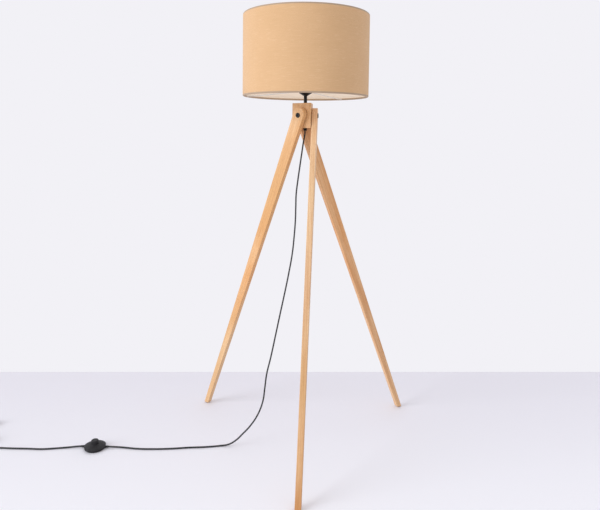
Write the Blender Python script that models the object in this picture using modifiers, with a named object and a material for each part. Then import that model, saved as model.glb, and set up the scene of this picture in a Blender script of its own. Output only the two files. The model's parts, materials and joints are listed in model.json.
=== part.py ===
"""Tripod floor lamp: three tapered wooden legs on a triangular hub, a short black stem with an
E27 holder, a fabric drum shade on a wire carrier, and a black cord with a foot switch.

Everything is built around the stem's axis. At the end the whole lamp is shifted so that the
origin is the middle of its footprint box on the floor, without the cord and what is on it."""

import math

import bmesh
import bpy
from mathutils import Matrix, Vector

# ---- Driving sizes, in metres and degrees ------------------------------------------------
GAP = 0.0003  # between pieces that touch
RUNNING = 0.0004  # radial room where a piece turns or slides in another

LEG_LENGTH = 1.264  # pivot to floor along the leg
LEG_SPLAY = 21.05
LEG_THICKNESS = 0.0195
LEG_TOP_WIDTH = 0.0455
LEG_FOOT_WIDTH = 0.0185
LEG_TOP_RISE = 0.0052  # centre of the round top above the pivot
LEG_EDGE = 0.0012
LEG_COUNT = 3
FIRST_FACE = -125.2  # azimuth of the first hub face's normal

HUB_INRADIUS = 0.024
HUB_HEIGHT = 0.089
HUB_CORNER_FLAT = 0.0015
HUB_EDGE = 0.0007
HUB_POCKET_RADIUS = 0.0145
HUB_POCKET_DEPTH = 0.009

WASHER_THICKNESS = 0.0008
WASHER_RADIUS = 0.012
BOLT_RADIUS = 0.004
BOLT_HEAD_RADIUS = 0.0088
BOLT_HEAD_THICKNESS = 0.0024
BOLT_SOCKET_FLATS = 0.005
BOLT_SOCKET_DEPTH = 0.0045
BOLT_ENGAGEMENT = 0.0125
INSERT_RADIUS = 0.006
INSERT_LENGTH = 0.0145

GLIDE_RADIUS = 0.0072
GLIDE_THICKNESS = 0.0025
GLIDE_PIN_RADIUS = 0.0015
GLIDE_PIN_LENGTH = 0.011

ROD_RADIUS = 0.005
ROD_BORE = 0.0035
STEM_RADIUS = 0.006
STEM_EXPOSED = 0.0258
NUT_FLATS = 0.014
NUT_THICKNESS = 0.003
HUB_WASHER_RADIUS = 0.0125
HUB_WASHER_THICKNESS = 0.0015
GLAND_RADIUS = 0.0068
GLAND_DROP = 0.0095  # gland below the hub
GLAND_FLOOR = 0.004

HOLDER_CAP_RADIUS = 0.023
HOLDER_CAP_NECK = 0.0068
HOLDER_CAP_CONE = 0.0105
HOLDER_CAP_HEIGHT = 0.013
HOLDER_WALL = 0.002
HOLDER_BODY_RADIUS = 0.01975
HOLDER_BODY_HEIGHT = 0.0465
HOLDER_LIP = 0.003
SCREW_SHELL_RADIUS = 0.01415
SCREW_SHELL_WALL = 0.0005
SCREW_SHELL_HEIGHT = 0.0265
INSULATOR_HEIGHT = 0.010
CONTACT_HEIGHT = 0.0033

CARRIER_HUB_RADIUS = 0.0255
CARRIER_HUB_THICKNESS = 0.0015
CARRIER_WIRE = 0.0015
CARRIER_ARM_AZIMUTHS = (50.0, 170.0, 290.0)
SHADE_RING_RADIUS = 0.028
SHADE_RING_HEIGHT = 0.0075

SHADE_RADIUS = 0.225
SHADE_HEIGHT = 0.286
SHADE_DROP = 0.016  # shade's lower edge below the carrier's seat
SHADE_FABRIC = 0.0008
SHADE_LINER = 0.0006
SHADE_LINER_INSET = 0.003
SHADE_WIRE = 0.002
SHADE_STEPS = 56

BULB_CAP_RADIUS = 0.0132
BULB_CAP_HEIGHT = 0.0225
BULB_BODY_HEIGHT = 0.0435
BULB_RADIUS = 0.030
BULB_WALL = 0.0015
BULB_SEAT_RADIUS = 0.028
BULB_BOARD_RADIUS = 0.023
BULB_BOARD_THICKNESS = 0.0016

CORD_RADIUS = 0.0028
CORD_POINTS_UPPER = 76
CORD_POINTS_LOWER = 26
SWITCH_AT = (-0.727, -0.1345)
SWITCH_RADIUS = 0.037
SWITCH_PAD_THICKNESS = 0.0015
SWITCH_BASE_HEIGHT = 0.0065
SWITCH_WALL = 0.002
SWITCH_DOME_TOP = 0.0175
SWITCH_BUTTON_RADIUS = 0.0125
SWITCH_BUTTON_TOP = 0.0300
SWITCH_BUTTON_TRAVEL = 0.004
SWITCH_RELIEF_LENGTH = 0.012
SWITCH_RELIEF_RADIUS = 0.0042
SWITCH_RELIEF_TIP = 0.0031
SWITCH_SCREW_INSET = 0.0155  # from the rim to each screw
SWITCH_BLOCK = (0.022, 0.016, 0.0035)
SWITCH_SPRING_RADIUS = 0.006
SWITCH_SPRING_WIRE = 0.0005
SWITCH_SPRING_TURNS = 4
SWITCH_CORD_HEIGHT = 0.0060
COIL_AT = (-1.140, -0.115)
COIL_RADIUS = 0.031  # middle of the turns
COIL_WIDTH = 0.0172
COIL_HEIGHT = 0.0115
TIE_THICKNESS = 0.001
TIE_WIDTH = 0.009
TIE_ROOM = 0.0009  # beside the turns, which curve away under the strap
TIE_AZIMUTH = 35.0
PLUG_LENGTH = 0.034
PLUG_WIDTH = 0.0355
PLUG_NECK_WIDTH = 0.015
PLUG_THICKNESS = 0.0137
PLUG_PIN_RADIUS = 0.002
PLUG_PIN_LENGTH = 0.019
PLUG_PIN_SPACING = 0.0186
PLUG_BOOT_LENGTH = 0.022
PLUG_BOOT_RADIUS = 0.0048
PLUG_BOOT_TIP = 0.0032
PLUG_START = (-1.171, -0.030)  # where the boot begins, beside the coil

# ---- Places that follow from the sizes -----------------------------------------------------
PIVOT_Z = LEG_LENGTH * math.cos(math.radians(LEG_SPLAY))
HUB_TOP = PIVOT_Z + HUB_HEIGHT / 2
HUB_BOTTOM = PIVOT_Z - HUB_HEIGHT / 2
LEG_INNER = HUB_INRADIUS + WASHER_THICKNESS + 2 * GAP
LEG_OUTER = LEG_INNER + LEG_THICKNESS
LEG_MIDDLE = (LEG_INNER + LEG_OUTER) / 2
HOLDER_Z = HUB_TOP + STEM_EXPOSED
BODY_Z = HOLDER_Z + HOLDER_CAP_CONE + 0.0008
BODY_TOP = BODY_Z + HOLDER_BODY_HEIGHT
INSULATOR_Z = BODY_Z + 0.0027
SOCKET_Z = INSULATOR_Z + INSULATOR_HEIGHT + GAP
CARRIER_Z = HOLDER_Z + HOLDER_CAP_HEIGHT + GAP
SHADE_BOTTOM = CARRIER_Z - SHADE_DROP
SHADE_TOP = SHADE_BOTTOM + SHADE_HEIGHT
LINER_RADIUS = SHADE_RADIUS - SHADE_FABRIC - GAP
WIRE_RING_RADIUS = LINER_RADIUS - SHADE_LINER - GAP - SHADE_WIRE
BULB_CONTACT_Z = SOCKET_Z + CONTACT_HEIGHT + GAP
BULB_CAP_Z = BULB_CONTACT_Z + 0.0026
BULB_BODY_Z = BULB_CAP_Z + BULB_CAP_HEIGHT + GAP
BULB_SEAT_Z = BULB_BODY_Z + BULB_BODY_HEIGHT + GAP
GLAND_BOTTOM = HUB_BOTTOM - GLAND_DROP
SWITCH_BASE_Z = SWITCH_PAD_THICKNESS + GAP
SWITCH_SHELL_Z = SWITCH_BASE_Z + SWITCH_BASE_HEIGHT + GAP
FLOOR_CORD_Z = CORD_RADIUS + GAP
COIL_Z = TIE_THICKNESS + 2 * GAP

# The cord's route from the gland: it falls behind the left leg's plane, crosses it low down, where
# the leg can't reach, and runs along the floor to the foot switch.
UPPER_ROUTE = (
    (0.000, 0.000, GLAND_BOTTOM - 2 * GAP),
    (-0.0004, -0.0004, GLAND_BOTTOM - 0.011),
    (-0.0048, -0.0030, 1.0886),
    (-0.0108, -0.0035, 1.0452),
    (-0.0171, -0.0030, 0.9980),
    (-0.0238, -0.0015, 0.9470),
    (-0.0294, -0.0000, 0.8957),
    (-0.0304, 0.0010, 0.8516),
    (-0.0313, 0.0010, 0.8002),
    (-0.0349, -0.0060, 0.7423),
    (-0.0411, -0.0200, 0.6787),
    (-0.0530, -0.0350, 0.6085),
    (-0.0653, -0.0470, 0.5455),
    (-0.0813, -0.0610, 0.4688),
    (-0.0968, -0.0740, 0.3925),
    (-0.1126, -0.0850, 0.3160),
    (-0.1256, -0.0930, 0.2606),
    (-0.1315, -0.0990, 0.2119),
    (-0.1376, -0.1040, 0.1666),
    (-0.1544, -0.107, 0.120),
    (-0.1823, -0.107, 0.0756),
    (-0.2092, -0.107, 0.0457),
    (-0.2330, -0.107, 0.0220),
    (-0.2590, -0.1075, 0.0068),
    (-0.2888, -0.1106, FLOOR_CORD_Z),
    (-0.337, -0.1200, FLOOR_CORD_Z),
    (-0.3975, -0.1262, FLOOR_CORD_Z),
    (-0.458, -0.1350, FLOOR_CORD_Z),
    (-0.5306, -0.1400, FLOOR_CORD_Z),
    (-0.5805, -0.1390, FLOOR_CORD_Z),
    (-0.632, -0.1330, 0.0038),
)
# From the switch on to the coil.
LOWER_ROUTE = (
    (-0.812, -0.1375, 0.0038),
    (-0.860, -0.1455, FLOOR_CORD_Z),
    (-0.9064, -0.1522, FLOOR_CORD_Z),
    (-0.958, -0.1510, FLOOR_CORD_Z),
    (-1.013, -0.1508, FLOOR_CORD_Z),
    (-1.070, -0.1487, FLOOR_CORD_Z),
    (-1.107, -0.1502, 0.0046),
)
# From the coil to the plug's boot.
TAIL_ROUTE = (
    (-1.1765, -0.0860, 0.0080),
    (-1.1750, -0.0720, 0.0070),
    (-1.1725, -0.0520, PLUG_THICKNESS / 2),
    (PLUG_START[0], PLUG_START[1] - GAP, PLUG_THICKNESS / 2),
)


# ---- Scene, materials and helpers ----------------------------------------------------------
def clear_scene():
    for obj in list(bpy.data.objects):
        bpy.data.objects.remove(obj, do_unlink=True)


clear_scene()
LAMP = bpy.data.collections.new("tripod_floor_lamp")
CUTTERS = bpy.data.collections.new("cutters")
bpy.context.scene.collection.children.link(LAMP)
bpy.context.scene.collection.children.link(CUTTERS)


def linear(channel):
    """One sRGB channel, 0 to 255, as a linear value."""
    value = channel / 255
    return value / 12.92 if value <= 0.04045 else ((value + 0.055) / 1.055) ** 2.4


def material(name, colour, roughness, metallic=0.0):
    made = bpy.data.materials.new(name)
    made.use_nodes = True
    shader = made.node_tree.nodes["Principled BSDF"]
    shader.inputs["Base Color"].default_value = [linear(c) for c in colour] + [1]
    shader.inputs["Roughness"].default_value = roughness
    shader.inputs["Metallic"].default_value = metallic
    return made


BEECH = material("beech", (222, 176, 128), 0.45)
FABRIC = material("shade_fabric", (218, 182, 142), 0.9)
LINER = material("shade_liner", (236, 230, 222), 0.55)
BLACK_STEEL = material("black_steel", (24, 23, 23), 0.4, 0.6)
BLACK_PLASTIC = material("black_plastic", (20, 20, 21), 0.38)
BLACK_RUBBER = material("black_rubber", (22, 22, 23), 0.7)
CORD = material("cord", (26, 26, 27), 0.55)
BRASS = material("brass", (190, 150, 82), 0.3, 1.0)
ZINC = material("zinc_steel", (176, 178, 180), 0.35, 1.0)
WHITE_STEEL = material("white_steel", (232, 231, 228), 0.4, 0.1)
FIBRE = material("fibre", (92, 62, 44), 0.8)
OPAL = material("opal", (245, 243, 238), 0.35)
WHITE_PLASTIC = material("white_plastic", (238, 238, 236), 0.35)
CERAMIC = material("ceramic", (232, 226, 214), 0.5)
GLIDE = material("glide_plastic", (60, 52, 46), 0.6)


def empty(name, location, azimuth=0.0, parent=None):
    made = bpy.data.objects.new(name, None)
    made.location = location
    made.rotation_euler.z = math.radians(azimuth)
    made.parent = parent
    LAMP.objects.link(made)
    return made


ROOT = empty("stem_axis", (0, 0, 0))


def settle(obj, look, parent=ROOT, location=None, rotation=None):
    """Gives an object its material, its parent and its place in the lamp's collection."""
    for held in list(obj.users_collection):
        held.objects.unlink(obj)
    LAMP.objects.link(obj)
    obj.data.materials.clear()
    obj.data.materials.append(look)
    obj.parent = parent
    if location is not None:
        obj.location = location
    if rotation is not None:
        obj.rotation_euler = rotation
    return obj


def smooth(mesh, angle=35.0):
    mesh.shade_smooth()
    mesh.set_sharp_from_angle(angle=math.radians(angle))


def baked(obj, weld=1e-6):
    """Applies an object's modifiers, and makes a curve a mesh with its caps welded."""
    bpy.context.view_layer.update()
    source = obj.evaluated_get(bpy.context.evaluated_depsgraph_get())
    mesh = bpy.data.meshes.new_from_object(source)
    work = bmesh.new()
    work.from_mesh(mesh)
    bmesh.ops.remove_doubles(work, verts=work.verts, dist=weld)
    work.to_mesh(mesh)
    work.free()
    made = bpy.data.objects.new(obj.name, mesh)
    made.matrix_world = obj.matrix_world.copy()
    name = obj.name
    bpy.data.objects.remove(obj, do_unlink=True)
    made.name = name
    LAMP.objects.link(made)
    return made


def turned(name, profile, steps=32, loop=False):
    """A turned solid from (radius, height) points that run down its outer side first."""
    mesh = bpy.data.meshes.new(name)
    edges = [(i, i + 1) for i in range(len(profile) - 1)]
    if loop:
        edges.append((len(profile) - 1, 0))
    mesh.from_pydata([(r, 0, z) for r, z in profile], edges, [])
    obj = bpy.data.objects.new(name, mesh)
    bpy.context.scene.collection.objects.link(obj)
    screw = obj.modifiers.new("turn", "SCREW")
    screw.axis = "Z"
    screw.steps = steps
    screw.render_steps = steps
    screw.use_merge_vertices = True
    screw.merge_threshold = 1e-6
    obj = baked(obj)
    smooth(obj.data)
    return obj


def ring(name, outer, inner, low, high, steps=32):
    return turned(name, [(outer, high), (outer, low), (inner, low), (inner, high)], steps, loop=True)


def plate(name, outline, thickness):
    """A flat solid of a closed outline in XY, with its middle at z = 0."""
    curve = bpy.data.curves.new(name, "CURVE")
    curve.dimensions = "2D"
    curve.fill_mode = "BOTH"
    curve.extrude = thickness / 2
    spline = curve.splines.new("POLY")
    spline.points.add(len(outline) - 1)
    for point, (x, y) in zip(spline.points, outline):
        point.co = (x, y, 0, 1)
    spline.use_cyclic_u = True
    obj = bpy.data.objects.new(name, curve)
    bpy.context.scene.collection.objects.link(obj)
    return baked(obj)


def arc(centre, radius, start, end, steps):
    """Points of an arc, angles in degrees."""
    angles = [math.radians(start + (end - start) * i / steps) for i in range(steps + 1)]
    return [(centre[0] + radius * math.cos(a), centre[1] + radius * math.sin(a)) for a in angles]


def helper(obj):
    """Turns an object into a hidden cutter."""
    for held in list(obj.users_collection):
        held.objects.unlink(obj)
    CUTTERS.objects.link(obj)
    obj.hide_render = True
    obj.display_type = "WIRE"
    return obj


def cylinder(name, radius, low, high, steps=24):
    return turned(name, [(0, high), (radius, high), (radius, low), (0, low)], steps)


def hexagon(name, flats, low, high):
    return turned_sides(name, flats / 2 / math.cos(math.pi / 6), low, high, 6)


def turned_sides(name, radius, low, high, sides):
    mesh = bpy.data.meshes.new(name)
    work = bmesh.new()
    place = Matrix.Translation((0, 0, (low + high) / 2))
    bmesh.ops.create_cone(
        work, cap_ends=True, segments=sides, radius1=radius, radius2=radius, depth=high - low, matrix=place
    )
    work.to_mesh(mesh)
    work.free()
    obj = bpy.data.objects.new(name, mesh)
    LAMP.objects.link(obj)
    return obj


def block(name, size, centre):
    mesh = bpy.data.meshes.new(name)
    work = bmesh.new()
    bmesh.ops.create_cube(work, size=1, matrix=Matrix.Translation(centre) @ Matrix.Diagonal((*size, 1)))
    work.to_mesh(mesh)
    work.free()
    obj = bpy.data.objects.new(name, mesh)
    LAMP.objects.link(obj)
    return obj


def combine(obj, others, operation):
    """Boolean with each helper in turn, then the helpers stay hidden as wire."""
    for other in others:
        boolean = obj.modifiers.new(other.name, "BOOLEAN")
        boolean.operation = operation
        boolean.object = other
    return obj


def cut(obj, *cutters):
    return combine(obj, [helper(c) for c in cutters], "DIFFERENCE")


def join(obj, *pieces):
    return combine(obj, [helper(p) for p in pieces], "UNION")


def bevel(obj, width, segments=2, angle=30.0):
    rounding = obj.modifiers.new("edges", "BEVEL")
    rounding.width = width
    rounding.segments = segments
    rounding.limit_method = "ANGLE"
    rounding.angle_limit = math.radians(angle)
    return obj


def spline_points(route, count):
    """Evenly spaced points on a smooth curve through the route (centripetal Catmull-Rom)."""
    route = [Vector(p) for p in route]
    ends = [2 * route[0] - route[1]] + route + [2 * route[-1] - route[-2]]
    fine = []
    for a, b, c, d in zip(ends, ends[1:], ends[2:], ends[3:]):
        t = [0.0]
        for p, q in ((a, b), (b, c), (c, d)):
            t.append(t[-1] + math.sqrt((q - p).length))
        for i in range(24):
            u = t[1] + (t[2] - t[1]) * i / 24
            ab = a.lerp(b, (u - t[0]) / (t[1] - t[0]))
            bc = b.lerp(c, (u - t[1]) / (t[2] - t[1]))
            cd = c.lerp(d, (u - t[2]) / (t[3] - t[2]))
            abc = ab.lerp(bc, (u - t[0]) / (t[2] - t[0]))
            bcd = bc.lerp(cd, (u - t[1]) / (t[3] - t[1]))
            fine.append(abc.lerp(bcd, (u - t[1]) / (t[2] - t[1])))
    fine.append(route[-1])
    lengths = [0.0]
    for p, q in zip(fine, fine[1:]):
        lengths.append(lengths[-1] + (q - p).length)
    points = []
    at = 0
    for i in range(count):
        wanted = lengths[-1] * i / (count - 1)
        while at < len(fine) - 2 and lengths[at + 1] < wanted:
            at += 1
        share = (wanted - lengths[at]) / (lengths[at + 1] - lengths[at])
        points.append(fine[at].lerp(fine[at + 1], min(share, 1.0)))
    return points


def tube(name, points, radius, resolution=2):
    curve = bpy.data.curves.new(name, "CURVE")
    curve.dimensions = "3D"
    curve.bevel_depth = radius
    curve.bevel_resolution = resolution
    curve.use_fill_caps = True
    spline = curve.splines.new("POLY")
    spline.points.add(len(points) - 1)
    for point, co in zip(spline.points, points):
        point.co = (*co, 1)
    obj = bpy.data.objects.new(name, curve)
    bpy.context.scene.collection.objects.link(obj)
    return obj


def unit(azimuth):
    return Vector((math.cos(math.radians(azimuth)), math.sin(math.radians(azimuth)), 0))


# ---- Hub -----------------------------------------------------------------------------------
def face_azimuth(k):
    return FIRST_FACE + 120.0 * k


def hub_outline():
    """An equilateral triangle with a small flat on each corner."""
    points = []
    for k in range(LEG_COUNT):
        towards = unit(face_azimuth(k) + 60)
        across = Vector((-towards.y, towards.x, 0))
        flat = towards * (2 * HUB_INRADIUS - HUB_CORNER_FLAT * math.sqrt(3) / 2)
        for side in (-1, 1):
            corner = flat + across * side * HUB_CORNER_FLAT / 2
            points.append((corner.x, corner.y))
    return points


def make_hub():
    hub = plate("hub", hub_outline(), HUB_HEIGHT)
    bevel(hub, HUB_EDGE)
    half = HUB_HEIGHT / 2
    cutters = [
        cylinder("cut_hub_bore", ROD_RADIUS + GAP, -half - 0.01, half + 0.01),
        cylinder("cut_hub_pocket", HUB_POCKET_RADIUS, -half - 0.01, -half + HUB_POCKET_DEPTH),
    ]
    for cutter in cutters:
        cutter.location.z = PIVOT_Z
        cutter.parent = ROOT
    for k in range(LEG_COUNT):
        hole = cylinder(
            f"cut_insert_{k}", INSERT_RADIUS + GAP, HUB_INRADIUS - INSERT_LENGTH - 2 * GAP, HUB_INRADIUS + 0.01
        )
        hole.parent = FACES[k]
        hole.rotation_euler.x = -math.pi / 2
        cutters.append(hole)
    cut(hub, *cutters)
    return settle(hub, BEECH, location=(0, 0, PIVOT_Z))


LEG_NAMES = ("left", "front", "right")
# Each face's frame: X towards the foot, Y out of the hub, Z up, at the pivot's height.
FACES = [empty(f"face_{LEG_NAMES[k]}", (0, 0, PIVOT_Z), face_azimuth(k) - 90, ROOT) for k in range(LEG_COUNT)]
make_hub()


# ---- Legs with their bolts, washers, inserts and glides ------------------------------------
def leg_outline():
    """The leg's face, in its own plane at rest: X towards the foot's side, Y up, pivot at 0."""
    splay = math.radians(LEG_SPLAY)
    down = Vector((math.sin(splay), -math.cos(splay)))
    out = Vector((math.cos(splay), math.sin(splay)))
    top = -down * LEG_TOP_RISE
    radius = LEG_TOP_WIDTH / 2
    start = math.degrees(math.atan2(out.y, out.x))
    head = arc(top, radius, start, start + 180, 16)
    foot_z = GLIDE_THICKNESS + GAP - PIVOT_Z
    points = list(head)
    for side in (-1, 1):
        shoulder = top + out * side * radius
        toe = down * LEG_LENGTH + out * side * LEG_FOOT_WIDTH / 2
        share = (foot_z - shoulder.y) / (toe.y - shoulder.y)
        end = shoulder.lerp(toe, share)
        points.append((end.x, end.y))
    return points


def make_leg(k):
    """The leg swings about the bolt: its parent sits on the joint's axis."""
    name = LEG_NAMES[k]
    pivot = empty(f"pivot_{name}", (0, 0, 0), 0, FACES[k])
    leg = plate(f"leg_{name}", leg_outline(), LEG_THICKNESS)
    leg.data.transform(Matrix.Rotation(math.pi / 2, 4, "X"))
    bevel(leg, LEG_EDGE)
    bore = cylinder(f"cut_leg_bore_{name}", BOLT_RADIUS + RUNNING, LEG_INNER - 0.01, LEG_OUTER + 0.01)
    bore.parent = pivot
    bore.rotation_euler.x = -math.pi / 2
    foot = Vector((LEG_LENGTH * math.sin(math.radians(LEG_SPLAY)), LEG_MIDDLE, -PIVOT_Z))
    socket = cylinder(
        f"cut_glide_{name}",
        GLIDE_PIN_RADIUS + GAP,
        0,
        GLIDE_THICKNESS + GLIDE_PIN_LENGTH + 2 * GAP,
        12,
    )
    socket.parent = pivot
    socket.location = foot
    cut(leg, bore, socket)
    smooth(leg.data)
    settle(leg, BEECH, pivot, (0, LEG_MIDDLE, 0))
    glide = turned(
        f"glide_{name}",
        [
            (0, GLIDE_THICKNESS + GLIDE_PIN_LENGTH),
            (GLIDE_PIN_RADIUS, GLIDE_THICKNESS + GLIDE_PIN_LENGTH),
            (GLIDE_PIN_RADIUS, GLIDE_THICKNESS),
            (GLIDE_RADIUS, GLIDE_THICKNESS),
            (GLIDE_RADIUS, 0.0008),
            (GLIDE_RADIUS - 0.0008, 0),
            (0, 0),
        ],
        20,
    )
    settle(glide, GLIDE, pivot, foot)


def make_pivot(k):
    """What holds the leg: a socket-head bolt through a fibre washer into a brass insert."""
    name = LEG_NAMES[k]
    along = (-math.pi / 2, 0, 0)
    seat = LEG_OUTER + GAP
    tip = HUB_INRADIUS - BOLT_ENGAGEMENT
    bolt = turned(
        f"pivot_bolt_{name}",
        [
            (0, seat + BOLT_HEAD_THICKNESS),
            (BOLT_HEAD_RADIUS - 0.0008, seat + BOLT_HEAD_THICKNESS),
            (BOLT_HEAD_RADIUS, seat + BOLT_HEAD_THICKNESS - 0.0008),
            (BOLT_HEAD_RADIUS, seat),
            (BOLT_RADIUS, seat),
            (BOLT_RADIUS, tip + 0.001),
            (BOLT_RADIUS - 0.001, tip),
            (0, tip),
        ],
        24,
    )
    top = seat + BOLT_HEAD_THICKNESS
    socket = hexagon(f"cut_socket_{name}", BOLT_SOCKET_FLATS, top - BOLT_SOCKET_DEPTH, top + 0.01)
    socket.parent = FACES[k]
    socket.rotation_euler = along
    cut(bolt, socket)
    settle(bolt, BLACK_STEEL, FACES[k], rotation=along)
    low = HUB_INRADIUS + GAP
    washer = ring(f"pivot_washer_{name}", WASHER_RADIUS, BOLT_RADIUS + RUNNING, low, low + WASHER_THICKNESS, 28)
    settle(washer, FIBRE, FACES[k], rotation=along)
    end = HUB_INRADIUS - GAP
    insert = ring(f"pivot_insert_{name}", INSERT_RADIUS, BOLT_RADIUS + GAP, end - INSERT_LENGTH, end, 24)
    settle(insert, BRASS, FACES[k], rotation=along)


for leg_index in range(LEG_COUNT):
    make_leg(leg_index)
    make_pivot(leg_index)


# ---- Stem: threaded rod, sleeve, nuts and the cord's gland ---------------------------------
def bored_nut(name, low):
    nut = hexagon(name, NUT_FLATS, low, low + NUT_THICKNESS)
    hole = cylinder(f"cut_{name}", ROD_RADIUS + GAP, -0.01, NUT_THICKNESS + 0.01)
    hole.location.z = low
    hole.parent = ROOT
    return settle(cut(nut, hole), ZINC)


def make_stem():
    washer_z = HUB_BOTTOM + HUB_POCKET_DEPTH - GAP - HUB_WASHER_THICKNESS
    nut_z = washer_z - GAP - NUT_THICKNESS
    rod_low = GLAND_BOTTOM + GLAND_FLOOR + GAP
    rod_high = HOLDER_Z + HOLDER_CAP_CONE - 0.0015
    settle(ring("threaded_rod", ROD_RADIUS, ROD_BORE, rod_low, rod_high, 20), ZINC)
    sleeve = ring("stem_sleeve", STEM_RADIUS, ROD_RADIUS + GAP, HUB_TOP + GAP, HOLDER_Z - GAP, 32)
    settle(sleeve, BLACK_STEEL)
    washer = ring(
        "hub_washer", HUB_WASHER_RADIUS, ROD_RADIUS + GAP, washer_z, washer_z + HUB_WASHER_THICKNESS, 28
    )
    settle(washer, ZINC)
    bored_nut("hub_nut", nut_z)
    bored_nut("holder_nut", HOLDER_Z + 0.0042)
    gland_top = nut_z - GAP
    gland = turned(
        "cord_gland",
        [
            (GLAND_RADIUS, gland_top),
            (GLAND_RADIUS, GLAND_BOTTOM + 0.0015),
            (GLAND_RADIUS - 0.0015, GLAND_BOTTOM),
            (CORD_RADIUS + GAP, GLAND_BOTTOM),
            (CORD_RADIUS + GAP, GLAND_BOTTOM + GLAND_FLOOR),
            (ROD_RADIUS + GAP, GLAND_BOTTOM + GLAND_FLOOR),
            (ROD_RADIUS + GAP, gland_top),
        ],
        28,
        loop=True,
    )
    settle(gland, BLACK_PLASTIC)
    inner_top = INSULATOR_Z + INSULATOR_HEIGHT - 0.001
    inner = cylinder("cord_in_stem", CORD_RADIUS, GLAND_BOTTOM + GAP, inner_top, 12)
    settle(inner, CORD)


make_stem()


# ---- E27 holder ------------------------------------------------------------------------------
def make_holder():
    slope = HOLDER_CAP_CONE / (HOLDER_CAP_RADIUS - HOLDER_CAP_NECK)
    drop = HOLDER_WALL * math.sqrt(1 + slope * slope)
    inner = HOLDER_BODY_RADIUS + GAP
    floor = 0.0039
    flat_to = HOLDER_CAP_NECK + (floor - drop) / slope
    cap = [
        (HOLDER_CAP_RADIUS - 0.0006, HOLDER_CAP_HEIGHT),
        (HOLDER_CAP_RADIUS, HOLDER_CAP_HEIGHT - 0.0006),
        (HOLDER_CAP_RADIUS, HOLDER_CAP_CONE),
        (HOLDER_CAP_NECK, 0),
        (ROD_RADIUS + GAP, 0),
        (ROD_RADIUS + GAP, floor),
        (flat_to, floor),
        (inner, drop + (inner - HOLDER_CAP_NECK) * slope),
        (inner, HOLDER_CAP_HEIGHT),
    ]
    settle(turned("holder_cap", cap, 32, loop=True), BLACK_PLASTIC, location=(0, 0, HOLDER_Z))
    wall = HOLDER_BODY_RADIUS - HOLDER_WALL
    lip = SCREW_SHELL_RADIUS + 0.00045
    body = [
        (HOLDER_BODY_RADIUS - 0.0006, BODY_TOP),
        (HOLDER_BODY_RADIUS, BODY_TOP - 0.0006),
        (HOLDER_BODY_RADIUS, BODY_Z),
        (wall, BODY_Z),
        (wall, BODY_TOP - HOLDER_LIP),
        (lip, BODY_TOP - HOLDER_LIP),
        (lip, BODY_TOP),
    ]
    settle(turned("holder_body", body, 32, loop=True), BLACK_PLASTIC)
    insulator = ring(
        "holder_insulator", wall - GAP, CORD_RADIUS + GAP, INSULATOR_Z, INSULATOR_Z + INSULATOR_HEIGHT, 32
    )
    settle(insulator, CERAMIC)
    shell = ring(
        "holder_screw_shell",
        SCREW_SHELL_RADIUS,
        SCREW_SHELL_RADIUS - SCREW_SHELL_WALL,
        SOCKET_Z,
        SOCKET_Z + SCREW_SHELL_HEIGHT,
        28,
    )
    settle(shell, BRASS)
    contact = turned(
        "holder_contact",
        [(0, CONTACT_HEIGHT), (0.0025, CONTACT_HEIGHT), (0.0045, 0.0008), (0.0055, 0.0008), (0.0055, 0), (0, 0)],
        20,
    )
    settle(contact, BRASS, location=(0, 0, SOCKET_Z))


make_holder()


# ---- Bulb --------------------------------------------------------------------------------------
def make_bulb():
    contact = turned("bulb_contact", [(0, 0.0023), (0.0046, 0.0023), (0.0034, 0), (0, 0)], 20)
    settle(contact, ZINC, location=(0, 0, BULB_CONTACT_Z))
    cap = [
        (0, BULB_CAP_HEIGHT),
        (BULB_CAP_RADIUS, BULB_CAP_HEIGHT),
        (BULB_CAP_RADIUS, 0.0055),
        (0.0062, 0),
        (0, 0),
    ]
    settle(turned("bulb_cap", cap, 24), ZINC, location=(0, 0, BULB_CAP_Z))
    neck = BULB_CAP_RADIUS - 0.0004
    body = [
        (0, BULB_BODY_HEIGHT),
        (BULB_SEAT_RADIUS, BULB_BODY_HEIGHT),
        (BULB_SEAT_RADIUS, BULB_BODY_HEIGHT - 0.002),
        (0.0245, 0.031),
        (0.0185, 0.0195),
        (0.0142, 0.0105),
        (neck, 0.006),
        (neck, 0),
        (0, 0),
    ]
    settle(turned("bulb_body", body, 28), WHITE_PLASTIC, location=(0, 0, BULB_BODY_Z))
    board = cylinder("bulb_led_board", BULB_BOARD_RADIUS, 0, BULB_BOARD_THICKNESS, 32)
    settle(board, WHITE_PLASTIC, location=(0, 0, BULB_SEAT_Z))
    centre = math.sqrt(BULB_RADIUS**2 - BULB_SEAT_RADIUS**2)
    inner = BULB_RADIUS - BULB_WALL
    low = -math.degrees(math.asin(centre / BULB_RADIUS))
    inner_low = -math.degrees(math.asin(centre / inner))
    outside = arc((0, centre), BULB_RADIUS, 90, low, 8)
    inside = arc((0, centre), inner, inner_low, 90, 8)
    dome = [(0, outside[0][1])] + outside[1:] + inside[:-1] + [(0, inside[-1][1])]
    settle(turned("bulb_dome", dome, 28), OPAL, location=(0, 0, BULB_SEAT_Z))


make_bulb()


# ---- Shade: carrier, rings, liner and fabric ---------------------------------------------------
def wire_ring(name, height):
    bpy.ops.mesh.primitive_torus_add(
        major_segments=SHADE_STEPS,
        minor_segments=6,
        major_radius=WIRE_RING_RADIUS,
        minor_radius=SHADE_WIRE,
        location=(0, 0, height),
    )
    made = bpy.context.object
    made.name = name
    made.data.shade_smooth()
    return made


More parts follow.
